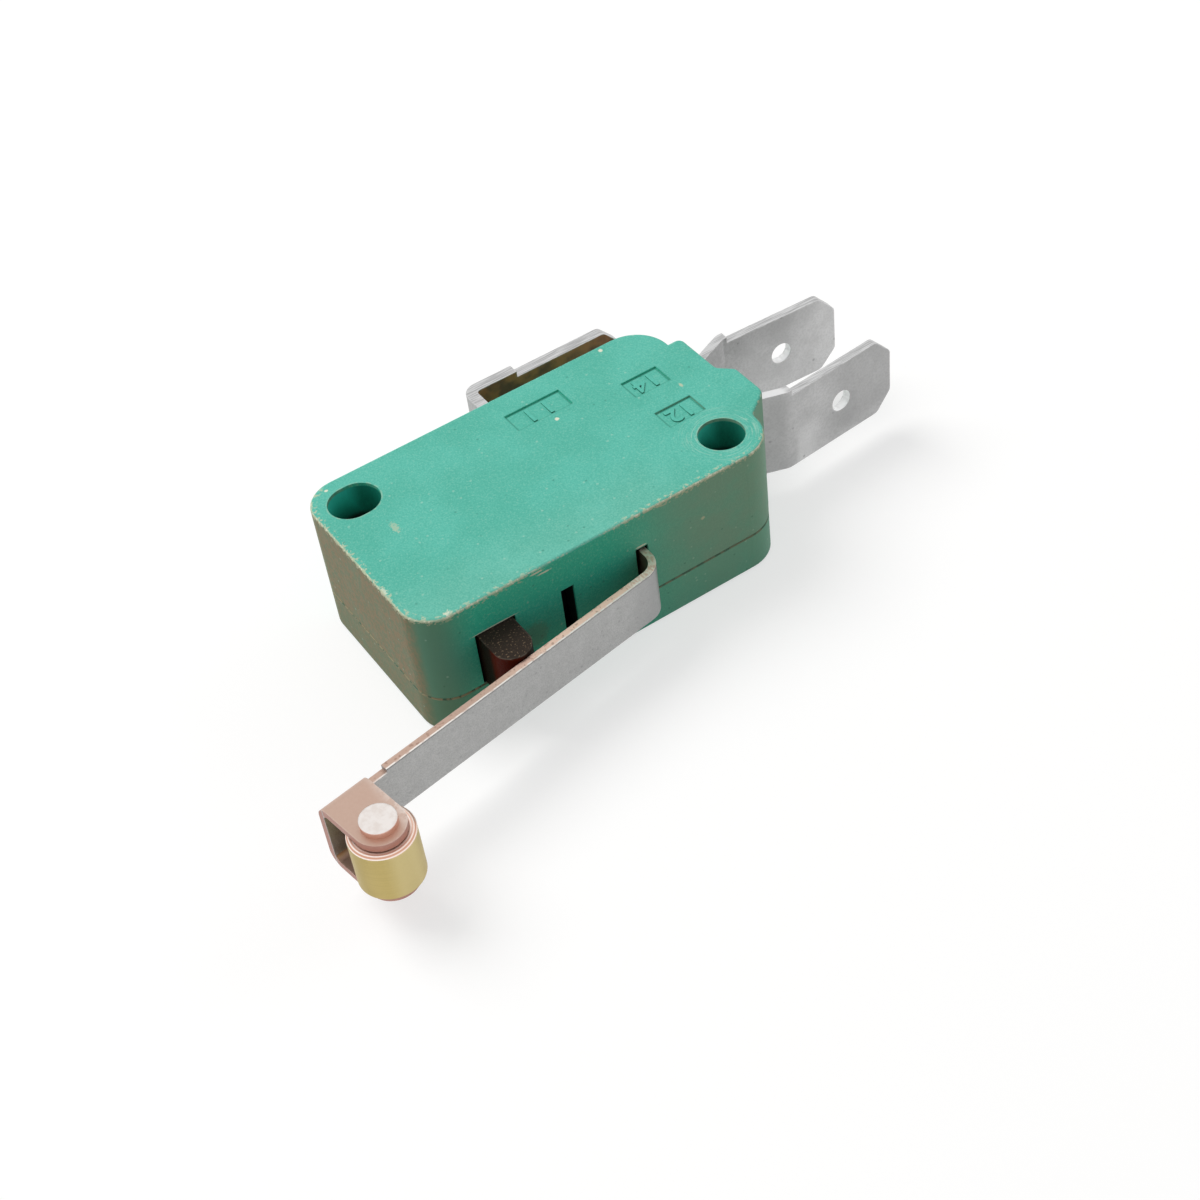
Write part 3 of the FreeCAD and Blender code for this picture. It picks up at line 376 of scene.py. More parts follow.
# %% A material with a Principled shader, softened edges and a fine bump
def new_material(name, metallic=0.0, gloss=0.5):
    """A material, its node tree and its shader. Gloss is the shader's specular level."""
    material = bpy.data.materials.new(name)
    material.use_nodes = True
    tree = material.node_tree
    shader = tree.nodes["Principled BSDF"]
    shader.inputs["Metallic"].default_value = metallic
    shader.inputs["Specular IOR Level"].default_value = gloss
    return material, tree, shader


def finish_material(tree, shader, paint, roughness, bump, edge_mm, height_mm):
    """Links colour and roughness, and a bump over edges that are rounded by edge_mm."""
    soft = add(tree, "Bevel", {"Radius": edge_mm * MM}, samples=6).outputs[0]
    relief = add(tree, "Bump", {"Height": bump, "Distance": height_mm * MM, "Strength": 1.0, "Normal": soft})
    tree.links.new(paint, shader.inputs["Base Color"])
    tree.links.new(roughness, shader.inputs["Roughness"])
    tree.links.new(relief.outputs[0], shader.inputs["Normal"])


print("material helpers ready")

# %% [markdown]
# A layer lies where its mask is 1. Masks answer three questions: which way the face looks, where the point
# lies, and how deep it is behind an outline. Multiplied masks keep what they share. Masks could be painted
# on the vertices, but these solids have few of them, so a mask that is worked out per point is finer.

# %% Masks that say where a layer lies, and how strongly
def facing(tree, axis, low, high):
    """A mask of faces that look one way: 0 to 1 as the normal's share along an axis goes low to high."""
    normal = add(tree, "NewGeometry").outputs["Normal"]
    return ramp(tree, add(tree, "SeparateXYZ", {0: normal}).outputs[axis], low, high)


def beyond(tree, axis, low, high):
    """A mask that grows from 0 to 1 between two places along an axis, in millimetres."""
    return ramp(tree, add(tree, "SeparateXYZ", {0: place_in_mm(tree)}).outputs[axis], low, high)


def times(tree, *masks):
    """The product of masks and numbers."""
    product = masks[0]
    for factor in masks[1:]:
        product = calculate(tree, "MULTIPLY", product, factor)
    return product


def larger(tree, one, other):
    """The larger of two masks."""
    return calculate(tree, "MAXIMUM", one, other)


def scaled(tree, value, spread, lowest):
    """A 0 to 1 value turned into one from lowest to lowest + spread."""
    return calculate(tree, "MULTIPLY_ADD", value, spread, lowest)


def line_at(tree, depth, middle, outer, inner):
    """A line at one depth: none at the outer distance from its middle, and full at the inner one."""
    off = calculate(tree, "ABSOLUTE", calculate(tree, "SUBTRACT", depth, middle))
    return ramp(tree, off, outer, inner)


def layer(tree, paint, tone, share, *masks):
    """The paint with a tone laid over it where all masks meet, never more than that share of it."""
    return mix(tree, times(tree, *masks, share), paint, tone)


print("mask helpers ready")

# %% [markdown]
# ### The housing
#
# Case and cover are moulded in the same teal plastic. It is matt and faintly grainy, its rims are rubbed
# pale, and a brown film dulls the left end and the right part of the front. The film could be left to
# coloured light, but then it would be gone in another room, so it is painted on. The material is made one
# layer at a time, and each layer is a function that takes the paint so far and gives it back.

# %% Measures of the housing
TOP, SEAM = 10.3, 3.1
HOLE_RADIUS, SLOT_HALF = 1.6, 1.825
HOUSING_OUTLINE = {"Centre": (-11.1, 5.15, 0.0), "Half": (13.9, 7.95, 0.0), "Corner": 2.6}
COM_FIELD, NO_FIELD, NC_FIELD = (-7.955, 10.045), (-0.74, 7.715), (-0.74, 3.675)
LONG_HALF, SHORT_HALF, FIELD_CORNER = (2.175, 0.925, 0.0), (1.44, 0.925, 0.0), 0.05
FIELD_OUTLINES = [((*COM_FIELD, 0.0), LONG_HALF),
                  ((*NO_FIELD, 0.0), SHORT_HALF),
                  ((*NC_FIELD, 0.0), SHORT_HALF)]
HOLE_OUTLINES = [((0.0, 0.0, 0.0), (HOLE_RADIUS, HOLE_RADIUS, 0.0)),
                 ((-22.2, 10.3, 0.0), (SLOT_HALF, HOLE_RADIUS, 0.0))]
print("outlines of", len(FIELD_OUTLINES), "fields and", len(HOLE_OUTLINES), "holes")

# %% Clean plastic: two teals in soft clouds, a deeper one painted as shade on the walls, and a fine grain
TEAL = colour(95, 191, 173)
TEAL_DARK = colour(88, 184, 165)
SHADED_SIDE_TEAL = colour(58, 196, 166)
GRAIN_DARK = colour(40, 132, 112)
DUST = colour(176, 214, 196)


def moulded_teal(tree, fine, upright):
    """The clean plastic, with a deeper teal painted as shade on its upright faces. The front left of its top
    is a little paler, as if handled more.
    """
    clouds = use(tree, grain, Size=4.0)["Value"]
    paint = mix(tree, ramp(tree, clouds, 0.35, 0.65), TEAL, TEAL_DARK)
    paint = layer(tree, paint, DUST, 0.1, beyond(tree, Y, 3.0, -2.0), beyond(tree, X, -2.0, -8.0))
    # Painted shade: the upright faces get a deeper, more saturated teal than the top.
    paint = mix(tree, upright, paint, SHADED_SIDE_TEAL)
    paint = mix(tree, ramp(tree, fine, 0.55, 0.3, 0.0, 0.22), paint, GRAIN_DARK)
    return mix(tree, ramp(tree, fine, 0.5, 0.75, 0.0, 0.22), paint, DUST)


print("clean plastic ready")

# %% [markdown]
# The film is browner on the left end, where it mixes with patches of green, and thins out towards the
# front over the rounded corner. The rounded corner itself is a darker, duller green. On the right the film
# reaches along the front, and on the cover some of the sides' painted shade teal is laid back over it.
# Low on the left the cover's upright faces are a darker, duller green.

# %% Films on the housing
LEFT_FILM = colour(142, 123, 90)
LEFT_FILM_GREEN = colour(118, 124, 92)
CORNER_DARKER_GREEN = colour(99, 147, 123)
RIGHT_FILM = colour(150, 156, 136)
LOW_DARKER_GREEN = colour(98, 124, 92)


def filmed(tree, paint, upright):
    """The paint with a darker green on the front left corner, its dull films on the left end and the right
    part of the front, painted shade teal back on the cover, and a darker green low on the left.
    """
    corner = times(tree, upright, facing(tree, Y, 0.3, -0.1), beyond(tree, X, -20.8, -24.0))
    paint = layer(tree, paint, CORNER_DARKER_GREEN, 0.9, corner)
    left = use(tree, film, Direction=(-1.0, 0.0, 0.0), Start=22.9, End=24.6)["Mask"]
    speckle = ramp(tree, use(tree, grain, Size=0.3)["Value"], 0.4, 0.6)
    left_tone = mix(tree, speckle, LEFT_FILM_GREEN, LEFT_FILM)
    paint = layer(tree, paint, left_tone, 0.96, left, facing(tree, X, -0.8, -1.0))
    right = use(tree, film, Direction=(1.0, 0.0, 0.0), Start=-12.0, End=-3.0)["Mask"]
    right = times(tree, right, beyond(tree, Y, 9.0, 3.0))
    paint = layer(tree, paint, RIGHT_FILM, 0.62, right)
    on_cover = beyond(tree, Z, SEAM + 0.1, SEAM - 0.1)
    # Painted shade: on the cover some of the sides' deeper teal is laid back over the film.
    paint = layer(tree, paint, SHADED_SIDE_TEAL, 0.2, right, on_cover)
    return layer(tree, paint, LOW_DARKER_GREEN, 0.35, upright, on_cover, beyond(tree, X, -14.0, -19.0))


print("films ready")

# %% [markdown]
# Pale flecks and dark pits lie all over the plastic, and the larger marks of the photograph sit at their
# own places. Each mark is a row of a table: centre, reach, raggedness, colour and share.

# %% Flecks and marks on the housing
PIT_DARK = colour(30, 96, 80)
RUBBED = colour(196, 204, 174)
CRUMBS = colour(228, 230, 208)
GREASE = colour(120, 118, 70)
HOUSING_MARKS = [
    ((-21.4, 6.35, TOP), (0.3, 0.65, 0.4), 2.4, RUBBED, 0.55),
    ((-7.5, 8.43, TOP), (0.2, 0.2, 0.4), 0.6, CRUMBS, 1.0),
    ((-1.2, 12.56, TOP), (0.2, 0.22, 0.4), 0.6, CRUMBS, 1.0),
    ((0.89, 5.85, TOP), (0.13, 0.3, 0.4), 0.6, RUBBED, 0.8),
    ((-23.19, 12.37, TOP), (0.18, 0.14, 0.3), 0.6, CRUMBS, 1.0),
    ((-16.4, -2.8, 10.0), (0.65, 0.3, 0.1), 0.8, CRUMBS, 0.85),
    ((-15.9, -2.8, 9.72), (0.65, 0.3, 0.09), 0.8, CRUMBS, 0.85),
    ((-3.79, -2.8, 7.04), (0.2, 0.3, 0.16), 0.6, RUBBED, 0.9),
    ((-19.9, -2.8, 7.58), (2.1, 0.2, 0.1), 0.5, CRUMBS, 0.8),
    ((-8.7, -2.8, 7.53), (0.55, 0.2, 0.09), 0.5, CRUMBS, 0.8),
    ((-24.95, 1.7, 10.2), (0.3, 0.45, 0.25), 2.0, CRUMBS, 0.7),
    ((-22.7, -2.5, 10.2), (0.35, 0.3, 0.25), 2.0, CRUMBS, 0.8),
    ((-17.2, -2.8, 4.9), (1.3, 0.4, 1.3), 0.6, GREASE, 0.35),
]


def marked(tree, paint):
    """The paint with flecks, pits, the arcs round the round hole, and the marks of the table."""
    pale = use(tree, flecks, Spacing=0.7, Size=0.11, Share=0.3)["Mask"]
    paint = layer(tree, paint, DUST, 0.4, pale)
    pits = use(tree, flecks, Spacing=0.8, Size=0.11, Share=0.3)["Mask"]
    paint = layer(tree, paint, PIT_DARK, 0.35, pits)
    swirl = use(tree, ring, Inner=1.9, Outer=3.3)["Mask"]
    paint = layer(tree, paint, DUST, 0.6, swirl, facing(tree, Z, 0.9, 0.99))
    for centre, reach, ragged, tone, share in HOUSING_MARKS:
        spot = use(tree, mark, Centre=centre, Reach=reach, Ragged=ragged)["Mask"]
        paint = layer(tree, paint, tone, share, spot)
    return paint


print("flecks ready, and", len(HOUSING_MARKS), "marks")

# %% [markdown]
# The walls of the holes and slots stay clean, and painted shade darkens them with depth. Light alone would
# do that, but the lamps here are soft and reach in too far, so the walls are painted in deeper teals, and
# their lower parts and the walls at the front in painted shadow black. They are found by how deep they lie
# inside the housing's outline, below the top and above the underside.

# %% Painted shade on the walls inside the holes and slots
WALL_SHADE_TEAL = colour(58, 212, 194)
DEEPER_WALL_SHADE_TEAL = colour(12, 104, 82)
SLOT_PAINTED_SHADOW = colour(12, 24, 18)


def painted_shade_inside(tree, paint, from_outline):
    """The paint with painted shade: deep teal on hidden walls, deeper away from the light, and painted shadow
    black in the slots.
    """
    deep = ramp(tree, from_outline, 0.12, 0.2)
    hidden = times(tree, deep, beyond(tree, Z, 10.1, 10.0), beyond(tree, Z, 0.02, 0.05))
    # Painted shade on the hidden walls, deeper away from the light, and painted shadow black low in the
    # slots.
    paint = layer(tree, paint, WALL_SHADE_TEAL, 0.9, hidden)
    away_from_light = larger(tree, beyond(tree, Z, 9.6, 7.4), facing(tree, X, 0.1, -0.6))
    paint = layer(tree, paint, DEEPER_WALL_SHADE_TEAL, 0.78, hidden, away_from_light)
    paint = layer(tree, paint, SLOT_PAINTED_SHADOW, 0.9, hidden, beyond(tree, Z, 8.0, 7.5))
    in_front = times(tree, hidden, beyond(tree, Y, 2.5, 1.5), beyond(tree, X, -3.0, -4.0))
    return layer(tree, paint, SLOT_PAINTED_SHADOW, 0.9, in_front)


print("walls ready")

# %% [markdown]
# A thin dark line of painted shade runs along each field's border, where its wall meets the top, and the
# holes' rims are chipped pale in places.

# %% Borders of the fields and the holes
FIELD_SHADE_TEAL = colour(48, 132, 114)


def bordered(tree, paint, near_top):
    """The paint with painted shade lines round the fields and pale chips round the holes."""
    for centre, half in FIELD_OUTLINES:
        depth = use(tree, outline, Centre=centre, Half=half, Corner=FIELD_CORNER)["Depth"]
        line = line_at(tree, depth, 0.04, 0.12, 0.04)
        # Painted shade: a dark line along the field's border.
        paint = layer(tree, paint, FIELD_SHADE_TEAL, 0.6, line, near_top, facing(tree, Z, 0.5, 0.9))
    for centre, half in HOLE_OUTLINES:
        depth = use(tree, outline, Centre=centre, Half=half, Corner=HOLE_RADIUS)["Depth"]
        line = line_at(tree, depth, -0.04, 0.09, 0.02)
        chipped = ramp(tree, use(tree, grain, Size=0.3)["Value"], 0.42, 0.58, 0.03, 0.3)
        paint = mix(tree, times(tree, line, near_top, chipped), paint, RUBBED)
    return paint


print("borders ready")

# %% [markdown]
# The rim of the top is rubbed everywhere, and worst at the left end and along most of the front. There the
# pale patches spread onto the faces next to it, and the plastic has crumbled. The parting line between
# case and cover is dark, with tan dirt in it that gathers towards the left.

# %% Rubbed rims and the parting line
SEAM_DARK = colour(78, 104, 84)
SEAM_TAN = colour(178, 164, 130)


def rubbed_pale(tree, paint, rim, near_top, from_outline):
    """The paint with its upper rim rubbed pale, heavily at the left end and along the front."""
    front = beyond(tree, Y, -1.0, -2.0)
    front_right = times(tree, beyond(tree, X, -12.0, -8.0), front)
    front_left = times(tree, beyond(tree, X, -15.0, -18.0), front, 0.8)
    heavy = larger(tree, larger(tree, beyond(tree, X, -22.0, -24.0), front_right), front_left)
    paint = layer(tree, paint, RUBBED, 0.6, rim["Mask"], near_top)
    more = use(tree, rubbed_rim, Patch_Size=0.32, Cover=0.8)["Mask"]
    paint = layer(tree, paint, RUBBED, 0.8, more, near_top, heavy)
    rim_zone = times(tree, ramp(tree, from_outline, 0.48, 0.3), beyond(tree, Z, 9.82, 9.96))
    ragged = ramp(tree, use(tree, grain, Size=0.26)["Value"], 0.54, 0.6)
    paint = layer(tree, paint, RUBBED, 0.7, rim_zone, ragged, heavy)
    crumbs = use(tree, rubbed_rim, Patch_Size=0.2, Cover=0.46)["Mask"]
    return layer(tree, paint, CRUMBS, 0.9, crumbs, near_top, heavy)


def seamed(tree, paint, rim):
    """The paint with the parting line: dark, with tan dirt in patches."""
    above_it = beyond(tree, Z, SEAM + 0.2, SEAM + 0.12)
    below_it = beyond(tree, Z, SEAM - 0.2, SEAM - 0.12)
    seam = times(tree, rim["Whole"], above_it, below_it)
    paint = layer(tree, paint, SEAM_DARK, 0.9, seam)
    dirt = ramp(tree, use(tree, grain, Size=0.45)["Value"], 0.4, 0.54)
    dirt_share = scaled(tree, beyond(tree, X, -8.0, -18.0), 0.5, 0.3)
    return mix(tree, times(tree, seam, dirt, dirt_share), paint, SEAM_TAN)


print("rims ready")

# %% [markdown]
# Now the layers are put on each other in the order in which they came to the real housing: plastic first,
# then film and dirt, and the rubbing last.

# %% Housing plastic
def housing_plastic():
    """The plastic of both halves of the housing."""
    material, tree, shader = new_material("housing_plastic", gloss=0.3)
    fine = use(tree, grain, Size=0.11)["Value"]
    upright = times(tree, facing(tree, Z, 0.6, 0.2), facing(tree, Z, -0.6, -0.2))
    near_top = beyond(tree, Z, 10.0, 10.12)
    from_outline = use(tree, outline, **HOUSING_OUTLINE)["Depth"]
    rim = use(tree, rubbed_rim, Patch_Size=0.25, Cover=0.5)
    paint = moulded_teal(tree, fine, upright)
    paint = filmed(tree, paint, upright)
    paint = marked(tree, paint)
    paint = painted_shade_inside(tree, paint, from_outline)
    paint = bordered(tree, paint, near_top)
    paint = rubbed_pale(tree, paint, rim, near_top, from_outline)
    paint = seamed(tree, paint, rim)
    finish_material(tree, shader, paint, scaled(tree, fine, 0.3, 0.4), fine, 0.05, 0.01)
    return material


plastic = housing_plastic()
print("made", plastic.name)

# %% [markdown]
# The raised numbers are of the same plastic. They are separate text pieces with coordinates of their own,
# where the housing's films and marks would fall in the wrong place, so they get a short material with the
# same teals and grain and sides darkened by painted shade.

# %% Plastic of the raised numbers
def number_plastic():
    """The housing's teals and grain, with painted shade on the sides."""
    material, tree, shader = new_material("number_plastic", gloss=0.3)
    fine = use(tree, grain, Size=0.11)["Value"]
    paint = mix(tree, ramp(tree, fine, 0.4, 0.6), TEAL_DARK, TEAL)
    # Painted shade on the numbers' sides.
    paint = mix(tree, facing(tree, Z, 0.9, 0.5), paint, FIELD_SHADE_TEAL)
    finish_material(tree, shader, paint, scaled(tree, fine, 0.3, 0.4), fine, 0.02, 0.01)
    return material


number_teal = number_plastic()
print("made", number_teal.name)

# %% [markdown]
# ### Stamped steel
#
# The lever is matt stainless sheet. Seen from the front it is plain grey with a fine speckle. Its upward
# faces and edges are painted a warm, pinkish sheen of the light from above, and a painted highlight runs
# along the sheared upper edge. The fork is browner. The highlight sits on one side only, so it is found by
# its depth behind the lever's front face. The sheet and its edges could be two materials, but one material
# that looks at the normal needs no cut in the mesh.

# %% The lever's grey sheet
STEEL_GREY = colour(184, 184, 183)
STEEL_DARK = colour(172, 172, 171)
STEEL_SPECKLE = grey(158)
STEEL_SPOT = grey(128)
STEEL_BEND_SHADE = grey(158)
UNDER_EDGE_SHADE = grey(110)
FORK_BROWN = colour(176, 124, 108)
LEVER_TOP = 7.13


def grey_sheet(tree, off_face, off_fork):
    """The lever's faces: clouds, speckle and spots, painted shade from the bend towards the housing and just
    under the upper edge, and brown on the fork.
    """
    clouds = use(tree, grain, Size=0.7)["Value"]
    paint = mix(tree, ramp(tree, clouds, 0.35, 0.65, 0.0, 0.5), STEEL_GREY, STEEL_DARK)
    speckle = use(tree, grain, Size=0.09)["Value"]
    paint = mix(tree, ramp(tree, speckle, 0.4, 0.65, 0.0, 0.6), paint, STEEL_SPECKLE)
    spots = use(tree, flecks, Spacing=0.5, Size=0.12, Share=0.3)["Mask"]
    paint = layer(tree, paint, STEEL_SPOT, 0.35, spots)
    # Painted shade from the bend towards the housing.
    paint = layer(tree, paint, STEEL_BEND_SHADE, 0.6, beyond(tree, X, -12.5, -9.5))
    paint = layer(tree, paint, FORK_BROWN, 0.85, beyond(tree, X, -31.0, -31.5), off_face)
    # Painted shade in a band just under the upper edge.
    under_edge_shade = times(tree, beyond(tree, Z, LEVER_TOP - 0.16, LEVER_TOP - 0.08), off_fork)
    return layer(tree, paint, UNDER_EDGE_SHADE, 0.6, under_edge_shade)


print("sheet ready")

# %% [markdown]
# The upper edge is painted a pinkish sheen with darker burrs. The painted sheen is lighter towards the
# bend, because there the housing shades it. The bend's top is struck, with fine striations in the same
# light, painted pinkish sheen, and the inside of the bend is brown. Burrs and the highlight's dashes are
# noise, because a straight, even line would look drawn with a ruler.

# %% The lever's upper edge: painted warm sheen and highlight
WARM_SHEEN = colour(203, 174, 158)
WARM_SHEEN_LIFTED = colour(254, 218, 200)
BURR = colour(150, 112, 98)
STRUCK_SHEEN_DARK = colour(240, 204, 186)
STRUCK_SHEEN_LIGHT = colour(255, 238, 226)
BEND_INSIDE = colour(136, 106, 76)
BRIGHT = colour(250, 244, 238)


def warm_sheen_edge(tree, paint, depth, off_fork):
    """The paint with the painted warm sheen on the upper edge and on the struck top of the bend, and the
    painted highlight along the sheared edge.
    """
    upward = facing(tree, Z, 0.3, 0.8)
    # Painted warm sheen on the upward faces, lighter where the housing shades them.
    sheen_tone = mix(tree, beyond(tree, X, -25.0, -16.0), WARM_SHEEN, WARM_SHEEN_LIFTED)
    paint = mix(tree, upward, paint, sheen_tone)
    burrs = ramp(tree, use(tree, grain, Size=0.24)["Value"], 0.56, 0.66)
    paint = layer(tree, paint, BURR, 0.5, burrs, upward, off_fork)
    at_bend = beyond(tree, X, -11.6, -10.8)
    struck = ramp(tree, use(tree, stripes, Spread=(7.0, 3.0, 0.1))["Value"], 0.4, 0.6)
    # The struck top of the bend: striations in the painted pinkish sheen.
    paint = mix(tree, times(tree, upward, at_bend), paint, mix(tree, struck, STRUCK_SHEEN_DARK, STRUCK_SHEEN_LIGHT))
    paint = layer(tree, paint, BEND_INSIDE, 0.8, facing(tree, X, -0.2, -0.6), at_bend)
    dashes = ramp(tree, use(tree, grain, Size=0.5)["Value"], 0.36, 0.5, 0.35, 1.0)
    # Painted highlight along the sheared upper edge.
    edge_highlight = times(tree, ramp(tree, depth, 0.14, 0.08), upward, off_fork, dashes)
    return mix(tree, edge_highlight, paint, BRIGHT)


print("edge ready")

# %% [markdown]
# The lever's material puts sheet and edge together. At rest the lever stands 8.9 degrees off the housing's
# front, so the direction of its face is worked out from that angle. The coordinates are the lever's own,
# so the layers stay in place when it swings.

# %% Lever steel
LEVER_TILT = math.radians(8.9)
LEVER_FACE = (math.sin(LEVER_TILT), -math.cos(LEVER_TILT), 0.0)
LEVER_FACE_OFFSET = 3.48


def lever_steel():
    """The lever's stainless sheet, with its warm edge and a little edge wear."""
    material, tree, shader = new_material("lever_steel", metallic=1.0)
    fine = use(tree, grain, Size=0.16)["Value"]
    depth = use(tree, plane, Facing=LEVER_FACE, Offset=LEVER_FACE_OFFSET)["Depth"]
    off_face = ramp(tree, calculate(tree, "ABSOLUTE", depth), 0.03, 0.06)
    off_fork = beyond(tree, X, -33.0, -31.0)
    paint = grey_sheet(tree, off_face, off_fork)
    paint = warm_sheen_edge(tree, paint, depth, off_fork)
    worn = use(tree, worn_edges, Width=0.2, Patch_Size=1.2, Strength=3.0)["Mask"]
    paint = layer(tree, paint, BRIGHT, 0.2, worn)
    finish_material(tree, shader, paint, scaled(tree, fine, 0.3, 0.3), fine, 0.03, 0.008)
    return material


steel = lever_steel()
print("made", steel.name)

# %% [markdown]
# ### Roller
#
# The roller is turned brass, dull on its tread, with ring-shaped tool marks on its ends and bevels and
# coppery worn rims. Faint vertical bands on the tread are painted reflection, a lighter band on one side of
# it is painted light, and the ends and bevels are painted a coppery sheen with highlights along the rings.
# The rings could be cut as grooves, but each is under a tenth of a millimetre wide, so a sine of the
# distance from the axis draws them.

# %% Roller brass
BRASS = colour(184, 165, 102)
BRASS_REFLECTION_BAND = colour(192, 173, 112)
BRASS_DARK = colour(168, 148, 92)
BRASS_PAINTED_LIGHT = colour(210, 194, 142)
COPPERY_SHEEN_AND_WEAR = colour(236, 198, 178)
END_RING_HIGHLIGHT = colour(255, 240, 232)
BEVEL_DARK, BEVEL_RING_HIGHLIGHT = colour(216, 164, 140), colour(255, 242, 234)
ROLLER_CENTRE, WIDER_THAN_ROLLER = (-33.62, -12.2, 0.0), 3.0
RING_SPACING = 0.17


def turned_rings(tree):
    """A wave from -1 to 1 across the roller's radius, for the tool marks."""
    half = (WIDER_THAN_ROLLER, WIDER_THAN_ROLLER, 0.0)
    inward = use(tree, outline, Centre=ROLLER_CENTRE, Half=half, Corner=WIDER_THAN_ROLLER)["Depth"]
    return calculate(tree, "SINE", calculate(tree, "MULTIPLY", inward, 2 * math.pi / RING_SPACING))


def roller_brass():
    """Turned brass: a dull tread with painted reflection bands and a painted light band, and rings on the
    ends and bevels under a painted coppery sheen and highlights.
    """
    material, tree, shader = new_material("roller_brass", metallic=1.0)
    turned = use(tree, stripes, Spread=(0.4, 0.4, 9.0))["Value"]
    fine = use(tree, grain, Size=0.1)["Value"]
    soft = use(tree, stripes, Spread=(0.9, 0.9, 0.15))["Value"]
    # Painted reflection: faint vertical bands of a lighter brass on the tread.
    paint = mix(tree, ramp(tree, soft, 0.35, 0.65), BRASS, BRASS_REFLECTION_BAND)
    paint = mix(tree, ramp(tree, turned, 0.4, 0.7, 0.0, 0.2), paint, BRASS_DARK)
    # Painted light: a lighter brass band on the side of the tread that faces one way.
    paint = layer(tree, paint, BRASS_PAINTED_LIGHT, 0.8, facing(tree, X, -0.55, -0.05), facing(tree, X, 0.9, 0.4))
    rings = turned_rings(tree)
    ends = larger(tree, facing(tree, Z, 0.3, 0.8), facing(tree, Z, -0.3, -0.8))
    # Painted sheen and highlights: coppery ends with bright lines along the turned rings.
    paint = mix(tree, ends, paint, mix(tree, ramp(tree, rings, -0.3, 0.7), COPPERY_SHEEN_AND_WEAR, END_RING_HIGHLIGHT))
    bevels = times(tree, facing(tree, Z, 0.25, 0.4), facing(tree, Z, 0.95, 0.85))
    # Painted highlights along the rings of the bevels.
    paint = mix(tree, bevels, paint, mix(tree, ramp(tree, rings, -0.5, 0.5), BEVEL_DARK, BEVEL_RING_HIGHLIGHT))
    worn = use(tree, worn_edges, Width=0.3, Patch_Size=2.0, Strength=5.0)["Mask"]
    paint = mix(tree, worn, paint, COPPERY_SHEEN_AND_WEAR)
    roughness = calculate(tree, "SUBTRACT", scaled(tree, fine, 0.2, 0.34), times(tree, worn, 0.2))
    finish_material(tree, shader, paint, roughness, turned, 0.08, 0.003)
    return material


brass = roller_brass()
print("made", brass.name)

# %% [markdown]
# ### Axle
#
# The axle is a rivet through both ears of the fork. Its formed heads are bright but uneven. A smooth metal
# would mirror the room and look like chrome, so soft clouds, small dents and a bump break the mirror up.

# %% Axle steel
AXLE_DARK, AXLE_LIGHT = colour(230, 221, 215), colour(240, 234, 230)
AXLE_SIDE = colour(228, 186, 170)
DENT = colour(206, 190, 180)


def axle_steel():
    """The riveted axle: bright, uneven heads with dents and a warmer side."""
    material, tree, shader = new_material("axle_steel", metallic=1.0)
    fine = use(tree, grain, Size=0.5)["Value"]
    paint = mix(tree, ramp(tree, fine, 0.35, 0.65), AXLE_DARK, AXLE_LIGHT)
    paint = mix(tree, facing(tree, Z, 0.8, 0.3), paint, AXLE_SIDE)
    dents = use(tree, flecks, Spacing=0.9, Size=0.2, Share=0.3)["Mask"]
    paint = layer(tree, paint, DENT, 0.25, dents)
    finish_material(tree, shader, paint, scaled(tree, fine, 0.3, 0.3), fine, 0.12, 0.012)
    return material


axle = axle_steel()
print("made", axle.name)

# %% [markdown]
# ### Plunger
#
# The plunger is nearly black plastic. Its flat end is greyer and grainy, with pale specks, and a dull red
# sheen is painted on the middle of its round side. The red could come from a coloured lamp, but paint stays
# in any light.

# %% Plunger plastic
PLUNGER_BLACK = colour(30, 20, 15)
PLUNGER_RED_SHEEN = colour(84, 18, 2)
PLUNGER_END = colour(56, 49, 44)
PLUNGER_GRAIN = colour(84, 70, 60)
PLUNGER_SPECK = colour(166, 140, 114)
PLUNGER_RIM = colour(150, 140, 128)


def plunger_plastic():
    """Dull, nearly black plastic, with a painted red sheen in the middle of its round side, and grainy on its
    end.
    """
    material, tree, shader = new_material("plunger_plastic", gloss=0.03)
    fine = use(tree, grain, Size=0.1)["Value"]
    end = facing(tree, Z, 0.5, 0.9)
    middle = times(tree, beyond(tree, X, -21.8, -21.3), beyond(tree, X, -19.4, -20.6))
    # Painted sheen: a dull red band in the middle of the round side.
    paint = mix(tree, times(tree, middle, beyond(tree, Y, -4.0, -4.6)), PLUNGER_BLACK, PLUNGER_RED_SHEEN)
    paint = mix(tree, end, paint, PLUNGER_END)
    paint = mix(tree, ramp(tree, fine, 0.5, 0.7, 0.0, 0.25), paint, PLUNGER_GRAIN)
    specks = ramp(tree, use(tree, grain, Size=0.13, Detail=1.0)["Value"], 0.62, 0.72)
    paint = layer(tree, paint, PLUNGER_SPECK, 0.5, specks, end)
    rim = use(tree, worn_edges, Width=0.2, Patch_Size=0.6, Strength=5.0, Side=(0.0, -1.0, 0.0))["Mask"]
    paint = layer(tree, paint, PLUNGER_RIM, 0.35, rim)
    finish_material(tree, shader, paint, scaled(tree, end, 0.3, 0.4), fine, 0.08, 0.02)
    return material


button = plunger_plastic()
print("made", button.name)

# %% [markdown]
# ### Terminals
#
# The three terminals are punched from plated sheet. The plating is a neutral matt grey with a fine
# speckle and soft clouds, and it isn't even: both contact tabs get painted shade near the housing, the
# rest contact's is duller at its outer end too, and a painted highlight lies on its bend. One material
# serves all three, because they share one frame, where each tone can be placed by its coordinates.

